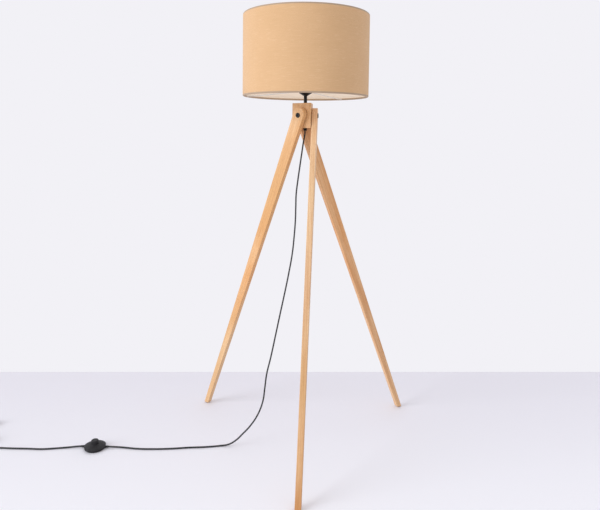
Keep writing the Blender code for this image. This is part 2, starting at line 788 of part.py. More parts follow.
def make_carrier():
    """The welded wire frame: a flat hub ring, three arms and the shade's lower ring."""
    wire_z = SHADE_BOTTOM + SHADE_WIRE + GAP
    inner = HOLDER_BODY_RADIUS + RUNNING
    hub = ring("shade_carrier", CARRIER_HUB_RADIUS, inner, CARRIER_Z, CARRIER_Z + CARRIER_HUB_THICKNESS, 32)
    pieces = []
    for azimuth in CARRIER_ARM_AZIMUTHS:
        out = unit(azimuth)
        start = out * (HOLDER_CAP_RADIUS + 0.0008) + Vector((0, 0, CARRIER_Z + CARRIER_HUB_THICKNESS / 2))
        end = out * WIRE_RING_RADIUS + Vector((0, 0, wire_z))
        arm = baked(tube(f"arm_{azimuth:.0f}", [start, end], CARRIER_WIRE))
        pieces.append(arm)
    pieces.append(wire_ring("lower_ring", wire_z))
    for piece in pieces:
        piece.parent = ROOT
    return settle(join(hub, *pieces), WHITE_STEEL)


def make_shade():
    make_carrier()
    settle(wire_ring("shade_ring_upper", SHADE_TOP - SHADE_WIRE - GAP), WHITE_STEEL)
    low = CARRIER_Z + CARRIER_HUB_THICKNESS + CARRIER_WIRE
    collar = [
        (SHADE_RING_RADIUS - 0.001, low + SHADE_RING_HEIGHT),
        (SHADE_RING_RADIUS, low + SHADE_RING_HEIGHT - 0.001),
        (SHADE_RING_RADIUS, low),
        (HOLDER_BODY_RADIUS + RUNNING, low),
        (HOLDER_BODY_RADIUS + RUNNING, low + SHADE_RING_HEIGHT),
    ]
    settle(turned("shade_clamp_ring", collar, 32, loop=True), BLACK_PLASTIC)
    liner = ring(
        "shade_liner",
        LINER_RADIUS,
        LINER_RADIUS - SHADE_LINER,
        SHADE_BOTTOM + SHADE_LINER_INSET,
        SHADE_TOP - SHADE_LINER_INSET,
        SHADE_STEPS,
    )
    settle(liner, LINER)
    inner = SHADE_RADIUS - SHADE_FABRIC
    fabric = ring("shade_fabric", SHADE_RADIUS, inner, SHADE_BOTTOM, SHADE_TOP, SHADE_STEPS)
    settle(fabric, FABRIC)


make_shade()


# ---- Foot switch -------------------------------------------------------------------------------
def make_switch():
    centre = empty("switch_axis", (*SWITCH_AT, 0), 0, ROOT)
    pad = ring("switch_pad", SWITCH_RADIUS - 0.0045, SWITCH_RADIUS - 0.0135, 0, SWITCH_PAD_THICKNESS, 28)
    settle(pad, BLACK_RUBBER, centre)
    edge = SWITCH_RADIUS - 0.0012
    base = [
        (edge, SWITCH_BASE_HEIGHT),
        (edge, 0.002),
        (edge - 0.002, 0),
        (0, 0),
        (0, SWITCH_WALL),
        (edge - SWITCH_WALL, SWITCH_WALL),
        (edge - SWITCH_WALL, SWITCH_BASE_HEIGHT),
    ]
    tray = turned("switch_base", base, 36, loop=True)
    hole = SWITCH_BUTTON_RADIUS + RUNNING
    rise = SWITCH_DOME_TOP - SWITCH_SHELL_Z
    span = SWITCH_RADIUS - hole

    def dome(inset):
        """The dome's outline, from the opening to the rim: a cone with a swelling side."""
        points = []
        for i in range(7):
            share = i / 6
            height = SWITCH_SHELL_Z + (rise - inset) * (1 - share**1.6)
            points.append((hole + (span - inset) * share, height))
        return points

    shell = turned("switch_shell", dome(0) + dome(SWITCH_WALL)[::-1], 36, loop=True)
    for sign, side in ((1, "in"), (-1, "out")):
        reach = SWITCH_RELIEF_RADIUS + GAP
        notch = cylinder(f"cut_relief_{side}", reach, 0, 0.030, 20)
        notch.parent = centre
        notch.rotation_euler.y = sign * math.pi / 2
        notch.location = (sign * (SWITCH_RADIUS - 0.010), 0, SWITCH_CORD_HEIGHT)
        cut(tray, notch)
        cut(shell, notch)
    for sign, side in ((1, "a"), (-1, "b")):
        place = (0, sign * (SWITCH_RADIUS - SWITCH_SCREW_INSET), 0)
        hole_cut = cylinder(f"cut_switch_screw_{side}", 0.0013 + GAP, -0.01, 0.02, 12)
        recess = cylinder(f"cut_switch_head_{side}", 0.0029 + GAP, -0.01, SWITCH_BASE_Z + 0.001, 16)
        for tool in (hole_cut, recess):
            tool.parent = centre
            tool.location = place
        cut(tray, hole_cut, recess)
        head = SWITCH_BASE_Z + 0.0002
        screw = turned(
            f"switch_screw_{side}",
            [(0, head + 0.006), (0.0013, head + 0.006), (0.0013, head + 0.0004), (0.0026, head), (0, head)],
            12,
        )
        settle(screw, ZINC, centre, place)
    settle(tray, BLACK_PLASTIC, centre, (0, 0, SWITCH_BASE_Z))
    settle(shell, BLACK_PLASTIC, centre)
    block_z = SWITCH_BASE_Z + SWITCH_WALL + GAP
    block_top = block_z + SWITCH_BLOCK[2]
    body = block("switch_contact_block", SWITCH_BLOCK, (0, 0, (block_z + block_top) / 2))
    settle(body, WHITE_PLASTIC, centre)
    skirt = block_top + SWITCH_BUTTON_TRAVEL + 0.0009
    button = [
        (0, SWITCH_BUTTON_TOP),
        (SWITCH_BUTTON_RADIUS * 0.55, SWITCH_BUTTON_TOP - 0.0005),
        (SWITCH_BUTTON_RADIUS - 0.0015, SWITCH_BUTTON_TOP - 0.0016),
        (SWITCH_BUTTON_RADIUS, SWITCH_BUTTON_TOP - 0.0036),
        (SWITCH_BUTTON_RADIUS, skirt),
        (SWITCH_BUTTON_RADIUS - 0.002, skirt),
        (SWITCH_BUTTON_RADIUS - 0.002, SWITCH_BUTTON_TOP - 0.005),
        (0, SWITCH_BUTTON_TOP - 0.005),
    ]
    settle(turned("switch_button", button, 36), BLACK_PLASTIC, centre)
    low, high = block_top + 0.0009, SWITCH_BUTTON_TOP - 0.0065
    steps = SWITCH_SPRING_TURNS * 8
    coil = []
    for i in range(steps + 1):
        out = unit(45 * i) * SWITCH_SPRING_RADIUS
        coil.append((out.x, out.y, low + (high - low) * i / steps))
    settle(tube("switch_spring", coil, SWITCH_SPRING_WIRE, 1), ZINC, centre)
    for sign, side in ((1, "in"), (-1, "out")):
        start = SWITCH_RADIUS - 0.008
        end = SWITCH_RADIUS + SWITCH_RELIEF_LENGTH
        boot = turned(
            f"switch_relief_{side}",
            [
                (0, end),
                (SWITCH_RELIEF_TIP, end),
                (SWITCH_RELIEF_RADIUS, SWITCH_RADIUS + 0.002),
                (SWITCH_RELIEF_RADIUS, start),
                (0, start),
            ],
            20,
        )
        settle(boot, BLACK_RUBBER, centre, (0, 0, SWITCH_CORD_HEIGHT), (0, sign * math.pi / 2, 0))


make_switch()


# ---- Cord, coil, tie and plug ------------------------------------------------------------------
def relief_end(sign):
    """Where the cord meets the boot at a side of the switch."""
    return (
        SWITCH_AT[0] + sign * (SWITCH_RADIUS + SWITCH_RELIEF_LENGTH + GAP),
        SWITCH_AT[1],
        SWITCH_CORD_HEIGHT,
    )


def make_cord():
    upper = spline_points(UPPER_ROUTE + (relief_end(1),), CORD_POINTS_UPPER)
    settle(tube("cord_upper", upper, CORD_RADIUS), CORD)
    lower = spline_points((relief_end(-1),) + LOWER_ROUTE, CORD_POINTS_LOWER)
    settle(tube("cord_lower", lower, CORD_RADIUS), CORD)
    settle(tube("cord_tail", spline_points(TAIL_ROUTE, 6), CORD_RADIUS), CORD)
    outer = COIL_RADIUS + COIL_WIDTH / 2
    inner = COIL_RADIUS - COIL_WIDTH / 2
    soft = 0.002
    section = [
        (outer - soft, COIL_HEIGHT),
        (outer, COIL_HEIGHT - soft),
        (outer, soft),
        (outer - soft, 0),
        (inner + soft, 0),
        (inner, soft),
        (inner, COIL_HEIGHT - soft),
        (inner + soft, COIL_HEIGHT),
    ]
    settle(turned("cord_coil", section, 36, loop=True), CORD, location=(*COIL_AT, COIL_Z))


def rounded(width, height, radius):
    """A rounded rectangle's outline about the origin."""
    points = []
    for k, (sx, sy) in enumerate(((1, 1), (-1, 1), (-1, -1), (1, -1))):
        centre = (sx * (width / 2 - radius), sy * (height / 2 - radius))
        points += arc(centre, radius, 90 * k, 90 * k + 90, 4)
    return points


def make_tie():
    """A soft strap once around the coil's turns."""
    inner = (COIL_WIDTH + 2 * TIE_ROOM, COIL_HEIGHT + 2 * GAP)
    outer = [size + 2 * TIE_THICKNESS for size in inner]
    tie = plate("cord_tie", rounded(*outer, 0.0025), TIE_WIDTH)
    hole = plate("cut_tie", rounded(*inner, 0.0015), TIE_WIDTH * 2)
    upright = Matrix.Rotation(math.pi / 2, 4, "X")
    tie.data.transform(upright)
    hole.data.transform(upright)
    middle = Vector((*COIL_AT, COIL_Z + COIL_HEIGHT / 2)) + unit(TIE_AZIMUTH) * COIL_RADIUS
    turn = (0, 0, math.radians(TIE_AZIMUTH))
    hole.parent = ROOT
    hole.location = middle
    hole.rotation_euler = turn
    settle(cut(tie, hole), BLACK_RUBBER, location=middle, rotation=turn)


def make_plug():
    """A flat two-pin plug that lies beside the coil, its cord end towards the coil."""
    axis = empty("plug_axis", (PLUG_START[0], PLUG_START[1], PLUG_THICKNESS / 2), 0, ROOT)
    boot = turned(
        "plug_boot",
        [
            (0, PLUG_BOOT_LENGTH),
            (PLUG_BOOT_RADIUS, PLUG_BOOT_LENGTH),
            (PLUG_BOOT_TIP, 0),
            (0, 0),
        ],
        20,
    )
    settle(boot, BLACK_PLASTIC, axis, rotation=(-math.pi / 2, 0, 0))
    low = PLUG_BOOT_LENGTH + GAP
    high = low + PLUG_LENGTH
    outline = [
        (PLUG_NECK_WIDTH / 2, low),
        (PLUG_WIDTH / 2, low + PLUG_LENGTH * 0.42),
        (PLUG_WIDTH / 2, high - 0.006),
        (PLUG_WIDTH / 2 - 0.003, high),
        (-PLUG_WIDTH / 2 + 0.003, high),
        (-PLUG_WIDTH / 2, high - 0.006),
        (-PLUG_WIDTH / 2, low + PLUG_LENGTH * 0.42),
        (-PLUG_NECK_WIDTH / 2, low),
    ]
    body = bevel(plate("plug_body", outline, PLUG_THICKNESS), 0.0022, 3)
    smooth(body.data)
    settle(body, BLACK_PLASTIC, axis)
    for sign, side in ((-1, "a"), (1, "b")):
        start = high + GAP
        pin = turned(
            f"plug_pin_{side}",
            [
                (0, start + PLUG_PIN_LENGTH),
                (PLUG_PIN_RADIUS - 0.0008, start + PLUG_PIN_LENGTH),
                (PLUG_PIN_RADIUS, start + PLUG_PIN_LENGTH - 0.001),
                (PLUG_PIN_RADIUS, start),
                (0, start),
            ],
            16,
        )
        settle(pin, ZINC, axis, (sign * PLUG_PIN_SPACING / 2, 0, 0), (-math.pi / 2, 0, 0))


make_cord()
make_tie()
make_plug()


# ---- The origin: the middle of the lamp's footprint, without the cord --------------------------
def on_cord(obj):
    pieces = ("cord_upper", "cord_lower", "cord_tail", "cord_coil", "cord_tie", "plug", "switch")
    return obj.name.startswith(pieces)


def centre_on_floor():
    bpy.context.view_layer.update()
    graph = bpy.context.evaluated_depsgraph_get()
    xs, ys = [], []
    for obj in LAMP.objects:
        if obj.type == "EMPTY" or on_cord(obj):
            continue
        seen = obj.evaluated_get(graph)
        for corner in seen.bound_box:
            place = seen.matrix_world @ Vector(corner)
            xs.append(place.x)
            ys.append(place.y)
    ROOT.location.x -= (min(xs) + max(xs)) / 2
    ROOT.location.y -= (min(ys) + max(ys)) / 2


centre_on_floor()
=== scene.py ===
# %% [markdown]
# # A tripod floor lamp
# Three tapered beech legs turn on a triangular hub. A short black stem carries the bulb holder,
# and a drum shade in woven fabric sits on the holder. A black cord falls from the hub to the floor,
# runs through a round foot switch and ends in a neat coil with a flat plug.
#
# The lamp's engineering model is loaded first and never changed. Each visible piece is then
# modelled again with more care, in the same place, and rides on the body that it belongs to.

# %% Load the frame
import json
import math

import bmesh
import bpy
from mathutils import Matrix, Vector


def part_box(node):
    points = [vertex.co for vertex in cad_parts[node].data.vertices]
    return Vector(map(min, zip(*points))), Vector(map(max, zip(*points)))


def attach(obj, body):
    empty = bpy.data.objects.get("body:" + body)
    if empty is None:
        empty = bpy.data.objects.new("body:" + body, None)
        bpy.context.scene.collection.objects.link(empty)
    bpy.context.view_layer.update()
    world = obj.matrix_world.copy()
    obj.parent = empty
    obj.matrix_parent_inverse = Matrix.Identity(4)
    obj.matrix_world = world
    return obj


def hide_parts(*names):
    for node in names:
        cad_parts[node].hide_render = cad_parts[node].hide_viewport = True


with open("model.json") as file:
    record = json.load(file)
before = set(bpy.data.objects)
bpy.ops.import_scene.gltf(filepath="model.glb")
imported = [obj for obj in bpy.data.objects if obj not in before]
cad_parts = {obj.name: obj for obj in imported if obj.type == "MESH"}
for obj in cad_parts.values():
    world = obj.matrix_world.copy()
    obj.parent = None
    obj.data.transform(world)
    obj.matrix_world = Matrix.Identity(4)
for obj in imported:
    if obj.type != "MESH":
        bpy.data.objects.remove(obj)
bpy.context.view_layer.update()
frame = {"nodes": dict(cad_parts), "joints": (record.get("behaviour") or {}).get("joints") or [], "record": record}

# %% [markdown]
# Nearly everything on this lamp is centred on the stem, so its axis is the first thing to know.
# It comes from the stem's own box. The three legs stand in frames of their own: X towards the
# foot, Y straight out of the hub's face, Z up, with the origin on the bolt that they turn on.

# %% The stem's axis and the legs' frames
def bottom_and_top(node):
    """A node's lowest and highest point."""
    low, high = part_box(node)
    return low.z, high.z


STEM_LOW, STEM_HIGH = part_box("stem_sleeve")
AXIS = Vector(((STEM_LOW.x + STEM_HIGH.x) / 2, (STEM_LOW.y + STEM_HIGH.y) / 2, 0))
LEG_NAMES = ("left", "front", "right")
JOINTS = {joint["name"]: joint for joint in frame["joints"]}


def leg_frame(name):
    """The leg's frame as a matrix, from the joint that it turns on."""
    joint = JOINTS[f"leg_{name}_splay"]
    out = -Vector(joint["axis"]).normalized()
    turn = math.atan2(out.y, out.x) - math.pi / 2
    return Matrix.Translation(joint["pos_m"]) @ Matrix.Rotation(turn, 4, "Z")


FRAMES = {name: leg_frame(name) for name in LEG_NAMES}
PIVOT_Z = FRAMES["left"].translation.z
print("stem axis", tuple(round(x, 4) for x in AXIS.xy), "bolts at", round(PIVOT_Z, 4))

# %% [markdown]
# ## Camera
# The camera stands two metres in front of the lamp, a little below the hub, and looks slightly
# down. Its sensor is shifted so that the lamp fills the height without tilting the camera
# further, as an architect does to keep uprights upright.

# %% Camera
CAMERA_AT = AXIS + Vector((0.0049, -2.1085, 1.1136))
CAMERA_DOWN = 0.07
CAMERA_TURN = 0.0101
CAMERA_ROLL = 0.0118

bpy.ops.object.camera_add(location=CAMERA_AT)
camera = bpy.context.object
camera.name = "camera"
camera.matrix_world = (
    Matrix.Translation(CAMERA_AT)
    @ Matrix.Rotation(CAMERA_TURN, 4, "Z")
    @ Matrix.Rotation(math.pi / 2 - CAMERA_DOWN, 4, "X")
    @ Matrix.Rotation(CAMERA_ROLL, 4, "Z")
)
camera.data.lens = 34.936
camera.data.shift_y = -0.1336
camera.data.clip_start = 0.05
bpy.context.scene.camera = camera
bpy.context.view_layer.update()


def seen_on_floor(across, up):
    """Where the line of sight through a point of the view meets the floor. Both run from the
    middle of the view, in widths of it."""
    sensor = camera.data.sensor_width
    through = Vector((across * sensor, (up + camera.data.shift_y) * sensor, -camera.data.lens))
    sight = camera.matrix_world.to_3x3() @ through
    return CAMERA_AT - sight * (CAMERA_AT.z / sight.z)


# %% [markdown]
# ## Tools for modelling by hand
# Blender's operators act on whatever is selected, so each step first says what that is. These
# few helpers open a piece, pick its faces, edges or points by where they are, and apply a
# modifier. Turned pieces are drawn as half a section, point by point, and spun round.


# %% Helpers: selecting, editing and finishing
def fresh(*pieces):
    """Leaves edit mode, deselects everything, then selects these pieces alone."""
    if bpy.context.mode != "OBJECT":
        bpy.ops.object.mode_set(mode="OBJECT")
    bpy.ops.object.select_all(action="DESELECT")
    for piece in pieces:
        piece.select_set(True)
    if pieces:
        bpy.context.view_layer.objects.active = pieces[0]


def added(name):
    """Names the object that an operator has just added."""
    piece = bpy.context.object
    piece.name = name
    piece.data.name = name
    return piece


def edit(piece, kind="FACE"):
    """Opens one piece in edit mode, with nothing selected."""
    fresh(piece)
    bpy.ops.object.mode_set(mode="EDIT")
    bpy.ops.mesh.select_mode(type=kind)
    bpy.ops.mesh.select_all(action="DESELECT")


def pick(piece, kind, test):
    """Selects the verts, edges or faces of the open piece that pass the test."""
    mesh = bmesh.from_edit_mesh(piece.data)
    found = [item for item in getattr(mesh, kind) if test(item)]
    for item in found:
        item.select_set(True)
    mesh.select_flush_mode()
    bmesh.update_edit_mesh(piece.data)
    return len(found)


def modify(piece, kind, **settings):
    """Adds one modifier, sets it and applies it."""
    fresh(piece)
    bpy.ops.object.modifier_add(type=kind)
    modifier = piece.modifiers[-1]
    for key, value in settings.items():
        setattr(modifier, key, value)
    bpy.ops.object.modifier_apply(modifier=modifier.name)


def cut(piece, *tools):
    """Cuts tools out of a piece and removes them."""
    for tool in tools:
        modify(piece, "BOOLEAN", operation="DIFFERENCE", solver="EXACT", object=tool)
        bpy.data.objects.remove(tool, do_unlink=True)


def round_edges(piece, width, segments=3, angle=30.0):
    modify(
        piece, "BEVEL", width=width, segments=segments, limit_method="ANGLE", angle_limit=math.radians(angle)
    )


def smooth(piece, angle=35.0, weighted=False):
    """Shades curves smooth and keeps edges crisp. Weighted normals keep broad faces flat."""
    fresh(piece)
    bpy.ops.object.shade_smooth_by_angle(angle=math.radians(angle))
    if weighted:
        modify(piece, "WEIGHTED_NORMAL", keep_sharp=True, weight=90)


def place(piece, matrix):
    """Puts a piece in its place and bakes that into its mesh."""
    fresh(piece)
    piece.matrix_world = matrix @ piece.matrix_world
    bpy.ops.object.transform_apply(location=True, rotation=True, scale=True)


def joined(name, pieces):
    fresh(*pieces)
    if len(pieces) > 1:
        bpy.ops.object.join()
    return added(name)


def lathe(name, section, steps=64, closed=True, sweep=360.0):
    """Draws half a section of (radius, height) points, then spins it round the Z axis."""
    fresh()
    bpy.ops.mesh.primitive_plane_add(size=0.001, location=(0, 0, 0))
    piece = added(name)
    edit(piece, "VERT")
    bpy.ops.mesh.select_all(action="SELECT")
    bpy.ops.mesh.merge(type="CENTER")
    bpy.ops.transform.translate(value=(section[0][0], 0, section[0][1]))
    here = section[0]
    for there in section[1:]:
        step = (there[0] - here[0], 0, there[1] - here[1])
        bpy.ops.mesh.extrude_vertices_move(TRANSFORM_OT_translate={"value": step})
        here = there
    if closed:
        mesh = bmesh.from_edit_mesh(piece.data)
        for vert in mesh.verts:
            vert.select_set(len(vert.link_edges) == 1)
        bmesh.update_edit_mesh(piece.data)
        bpy.ops.mesh.edge_face_add()
    bpy.ops.mesh.select_all(action="SELECT")
    bpy.ops.mesh.spin(
        steps=steps if sweep == 360.0 else max(2, round(steps * sweep / 360)),
        angle=math.radians(sweep),
        center=(0, 0, 0),
        axis=(0, 0, 1),
    )
    bpy.ops.mesh.select_all(action="SELECT")
    bpy.ops.mesh.remove_doubles(threshold=2e-6)
    bpy.ops.mesh.select_all(action="SELECT")
    bpy.ops.mesh.normals_make_consistent(inside=False)
    fresh(piece)
    return piece


def arc(centre, radius, start, end, steps):
    """Points on an arc of a section. Radius may be a pair, wide and high. Angles in degrees."""
    wide, high = radius if isinstance(radius, tuple) else (radius, radius)
    angles = [math.radians(start + (end - start) * i / steps) for i in range(steps + 1)]
    return [(centre[0] + wide * math.cos(a), centre[1] + high * math.sin(a)) for a in angles]


def hand_over(piece, look, body, slot, *nodes):
    """Gives a finished piece its material and the body that carries it, and hides the model's solids that it
    stands for.
    """
    if piece.type == "MESH":
        piece.data.materials.clear()
    piece.data.materials.append(look)
    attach(piece, body)
    if nodes:
        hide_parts(*nodes)
    if piece.type == "MESH":
        print(f"{piece.name}: {len(piece.data.polygons)} faces on {body}")
    return piece


# %% [markdown]
# ## Cord
# The cord is round black flex, 5.6 mm thick. It leaves the gland under the hub, falls behind the
# left leg's plane and crosses it low down, just outside the leg's stated range, then runs along
# the floor and through the foot switch. The leg would meet it if it folded further in. What is
# left is wound into five turns, three on the floor and two on top, a cord's thickness apart, and
# held by a strap. A cord has a fixed length, so its route is drawn as one curve.

# %% The cord's route
CORD_RADIUS = 0.0028
ON_FLOOR = 0.0031
SWITCH_LOW, SWITCH_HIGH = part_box("switch_base")
SWITCH_AT = (SWITCH_LOW + SWITCH_HIGH) / 2
COIL_LOW, COIL_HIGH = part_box("cord_coil")
COIL_AT = (COIL_LOW + COIL_HIGH) / 2
GLAND_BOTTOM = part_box("cord_gland")[0].z
SWITCH_CORD_Z = 0.0060

FALL = (
    (0.000, 0.000, GLAND_BOTTOM + 0.0030),
    (-0.0004, -0.0004, GLAND_BOTTOM - 0.011),
    (-0.0048, -0.0030, 1.0886),
    (-0.0108, -0.0035, 1.0452),
    (-0.0171, -0.0030, 0.9980),
    (-0.0238, -0.0015, 0.9470),
    (-0.0294, -0.0000, 0.8957),
    (-0.0304, 0.0010, 0.8516),
    (-0.0313, 0.0010, 0.8002),
    (-0.0349, -0.0060, 0.7423),
    (-0.0411, -0.0200, 0.6787),
    (-0.0530, -0.0350, 0.6085),
    (-0.0653, -0.0470, 0.5455),
    (-0.0813, -0.0610, 0.4688),
    (-0.0968, -0.0740, 0.3925),
    (-0.1126, -0.0850, 0.3160),
    (-0.1256, -0.0930, 0.2606),
    (-0.1315, -0.0990, 0.2119),
    (-0.1376, -0.1040, 0.1666),
    (-0.1544, -0.107, 0.120),
    (-0.1823, -0.107, 0.0756),
    (-0.2092, -0.107, 0.0457),
    (-0.2330, -0.107, 0.0220),
    (-0.2590, -0.1075, 0.0068),
)
ALONG_FLOOR = (
    (-0.2888, -0.1106, ON_FLOOR),
    (-0.337, -0.1200, ON_FLOOR),
    (-0.3975, -0.1262, ON_FLOOR),
    (-0.458, -0.1350, ON_FLOOR),
    (-0.5306, -0.1400, ON_FLOOR),
    (-0.5805, -0.1390, ON_FLOOR),
    (-0.632, -0.1330, 0.0038),
    (-0.6777, -0.1345, SWITCH_CORD_Z),
    (-0.727, -0.1345, SWITCH_CORD_Z),
    (-0.7763, -0.1345, SWITCH_CORD_Z),
    (-0.812, -0.1375, 0.0038),
    (-0.860, -0.1455, ON_FLOOR),
    (-0.9064, -0.1522, ON_FLOOR),
    (-0.958, -0.1510, ON_FLOOR),
    (-1.013, -0.1508, ON_FLOOR),
    (-1.070, -0.1487, ON_FLOOR),
    (-1.107, -0.1502, 0.0044),
)
TO_PLUG = (
    (-1.1767, -0.1050, 0.0099),
    (-1.1768, -0.0950, 0.0090),
    (-1.1765, -0.0860, 0.0080),
    (-1.1750, -0.0720, 0.0070),
    (-1.1725, -0.0520, 0.00685),
    (-1.1710, -0.0300, 0.00685),
    (-1.1710, -0.0250, 0.00685),
)


# %% [markdown]
# The coil goes round clockwise. Each turn keeps its radius, and moves in or out by a cord's
# thickness over a short stretch. The third turn climbs where nothing lies under it, and the last
# two come back outwards on top.


# %% The coil's turns
def eased(share):
    share = min(max(share, 0.0), 1.0)
    return share * share * (3 - 2 * share)


COIL_TURNS = 5.25
COIL_STEPS = 20
COIL_PITCH = 2 * CORD_RADIUS + 0.0001
COIL_SHIFTS = ((0.8, -1), (1.8, -1), (3.3, 1), (4.3, 1))
COIL_CLIMB = (2.55, 2.75)


def coil_points():
    points = []
    for i in range(1, round(COIL_TURNS * COIL_STEPS) + 1):
        turn = i / COIL_STEPS
        radius = (COIL_HIGH.x - COIL_LOW.x) / 2 - CORD_RADIUS - 0.0001
        for start, way in COIL_SHIFTS:
            radius += way * COIL_PITCH * eased((turn - start) / 0.2)
        lift = eased((turn - COIL_CLIMB[0]) / (COIL_CLIMB[1] - COIL_CLIMB[0]))
        angle = -math.pi / 2 - 2 * math.pi * turn
        height = COIL_LOW.z + CORD_RADIUS + lift * (COIL_PITCH - 0.00005)
        offset = (radius * math.cos(angle), radius * math.sin(angle), height - COIL_AT.z)
        points.append(COIL_AT + Vector(offset))
    return points


def in_world(route):
    return [AXIS + Vector(point) for point in route]


CORD_POINTS = in_world(FALL + ALONG_FLOOR) + coil_points() + in_world(TO_PLUG)


def smooth_curve(name, points, radius, sides=4):
    """A round cord through the points, as one open Bezier spline with automatic handles."""
    data = bpy.data.curves.new(name, "CURVE")
    data.dimensions = "3D"
    data.resolution_u = 6
    data.bevel_depth = radius
    data.bevel_resolution = sides
    data.use_fill_caps = True
    spline = data.splines.new("BEZIER")
    spline.bezier_points.add(len(points) - 1)
    for knot, point in zip(spline.bezier_points, points):
        knot.co = point
        knot.handle_left_type = "AUTO"
        knot.handle_right_type = "AUTO"
    curve = bpy.data.objects.new(name, data)
    bpy.context.scene.collection.objects.link(curve)
    return curve


cord = smooth_curve("flex", CORD_POINTS, CORD_RADIUS)

# %% [markdown]
# ## Finishes
# A finish is a small network of nodes. To keep the maths readable, a varying number is wrapped in a
# class whose operators add the Math nodes, so that a pattern is written as a sum or a product.


# %% Shader maths
class Value:
    """A number that varies over a surface: an output socket with arithmetic."""

    def __init__(self, finish, socket):
        self.finish = finish
        self.socket = socket

    def math(self, operation, *others):
        inputs = {i: other for i, other in enumerate((self, *others))}
        node = self.finish.node("ShaderNodeMath", {"operation": operation}, inputs)
        return Value(self.finish, node.outputs[0])

    def __add__(self, other):
        return self.math("ADD", other)

    def __radd__(self, other):
        return self.math("ADD", other)

    def __sub__(self, other):
        return self.math("SUBTRACT", other)

    def __rsub__(self, other):
        return (self * -1).math("ADD", other)

    def __mul__(self, other):
        return self.math("MULTIPLY", other)

    def __rmul__(self, other):
        return self.math("MULTIPLY", other)

    def __pow__(self, other):
        return self.math("POWER", other)

    def sine(self):
        return self.math("SINE")

    def between(self, low, high):
        """0 below low, 1 above high, eased between them."""
        node = self.finish.node(
            "ShaderNodeMapRange",
            {"interpolation_type": "SMOOTHSTEP"},
            {"Value": self, "From Min": low, "From Max": high},
        )
        return Value(self.finish, node.outputs[0])


class Finish:
    """A material that is being put together."""

    def __init__(self, name):
        self.material = bpy.data.materials.new(name)
        self.material.use_nodes = True
        self.nodes = self.material.node_tree.nodes
        self.links = self.material.node_tree.links
        self.shader = self.nodes["Principled BSDF"]

    def node(self, kind, settings=None, inputs=None):
        """Adds any node: its settings first, then the values or links of its inputs."""
        node = self.nodes.new(kind)
        for key, value in (settings or {}).items():
            if key == "stops":
                ramp = node.color_ramp.elements
                while len(ramp) < len(value):
                    ramp.new(0.5)
                for stop, (position, colour) in zip(ramp, value):
                    stop.position = position
                    stop.color = (*colour, 1)
            else:
                setattr(node, key, value)
        for key, value in (inputs or {}).items():
            self.feed(node.inputs[key], value)
        return node

    def feed(self, socket, value):
        if isinstance(value, Value):
            value = value.socket
        if isinstance(value, bpy.types.NodeSocket):
            self.links.new(value, socket)
        else:
            socket.default_value = value

    def object_place(self):
        """Where a point is in the lamp, in metres."""
        return self.node("ShaderNodeTexCoord").outputs["Object"]

    def own_place(self, attribute):
        """A place that the piece carries with it, such as its own grain."""
        return self.node("ShaderNodeAttribute", {"attribute_name": attribute}).outputs["Vector"]

    def uv(self):
        return self.node("ShaderNodeUVMap", {"uv_map": "cloth"}).outputs["UV"]

    def stretched(self, place, scale):
        return self.node("ShaderNodeMapping", None, {"Vector": place, "Scale": scale}).outputs[0]

    def parts(self, place):
        """The X, Y and Z of a place, as numbers."""
        split = self.node("ShaderNodeSeparateXYZ", None, {0: place})
        return [Value(self, output) for output in split.outputs]

    def noise(self, place, scale, detail=2.0, roughness=0.5):
        node = self.node(
            "ShaderNodeTexNoise",
            None,
            {"Vector": place, "Scale": scale, "Detail": detail, "Roughness": roughness},
        )
        return Value(self, node.outputs[0])

    def cells(self, place, scale):
        node = self.node("ShaderNodeTexVoronoi", None, {"Vector": place, "Scale": scale})
        return Value(self, node.outputs["Distance"])

    def mix(self, factor, first, second, how="MIX"):
        """Mixes two colours, each a link or a (red, green, blue)."""
        colours = [(*c, 1) if isinstance(c, tuple) else c for c in (first, second)]
        node = self.node(
            "ShaderNodeMix",
            {"data_type": "RGBA", "blend_type": how, "clamp_factor": True},
            {0: factor, 6: colours[0], 7: colours[1]},
        )
        return node.outputs[2]

    def ramp(self, value, stops):
        return self.node("ShaderNodeValToRGB", {"stops": stops}, {0: value}).outputs[0]

    def relief(self, height, distance, strength=1.0):
        """Fine relief, with its depth in metres."""
        inputs = {"Height": height, "Distance": distance, "Strength": strength}
        return self.node("ShaderNodeBump", None, inputs).outputs[0]

    def surface(self, **inputs):
        """Sets the shader's inputs. Underscores stand for the spaces in their names."""
        for key, value in inputs.items():
            socket = self.shader.inputs[key.replace("_", " ")]
            if isinstance(value, tuple) and socket.type == "RGBA":
                value = (*value, 1)
            self.feed(socket, value)
        return self.material


def tone(red, green, blue):
    """A colour as it is mixed on a screen, 0 to 255, as the linear values that light uses."""
    return tuple(
        c / 255 / 12.92 if c <= 10 else ((c / 255 + 0.055) / 1.055) ** 2.4 for c in (red, green, blue)
    )


# %% [markdown]
# ### Beech
# Beech is a close, even wood. Faint growth rings run along the grain, short darker flecks lie in
# it like dashes, and the colour drifts slowly from board to board. Every wooden piece carries its
# own grain directions as an attribute, Z along the grain, so that the pattern turns with the leg.
# No two boards are alike, so a list gives the colour along each board: the boards stand one above
# the other in that list, the left leg's first and the hub's last. A satin lacquer lies over the
# wood, so the relief of the pores is shallow.


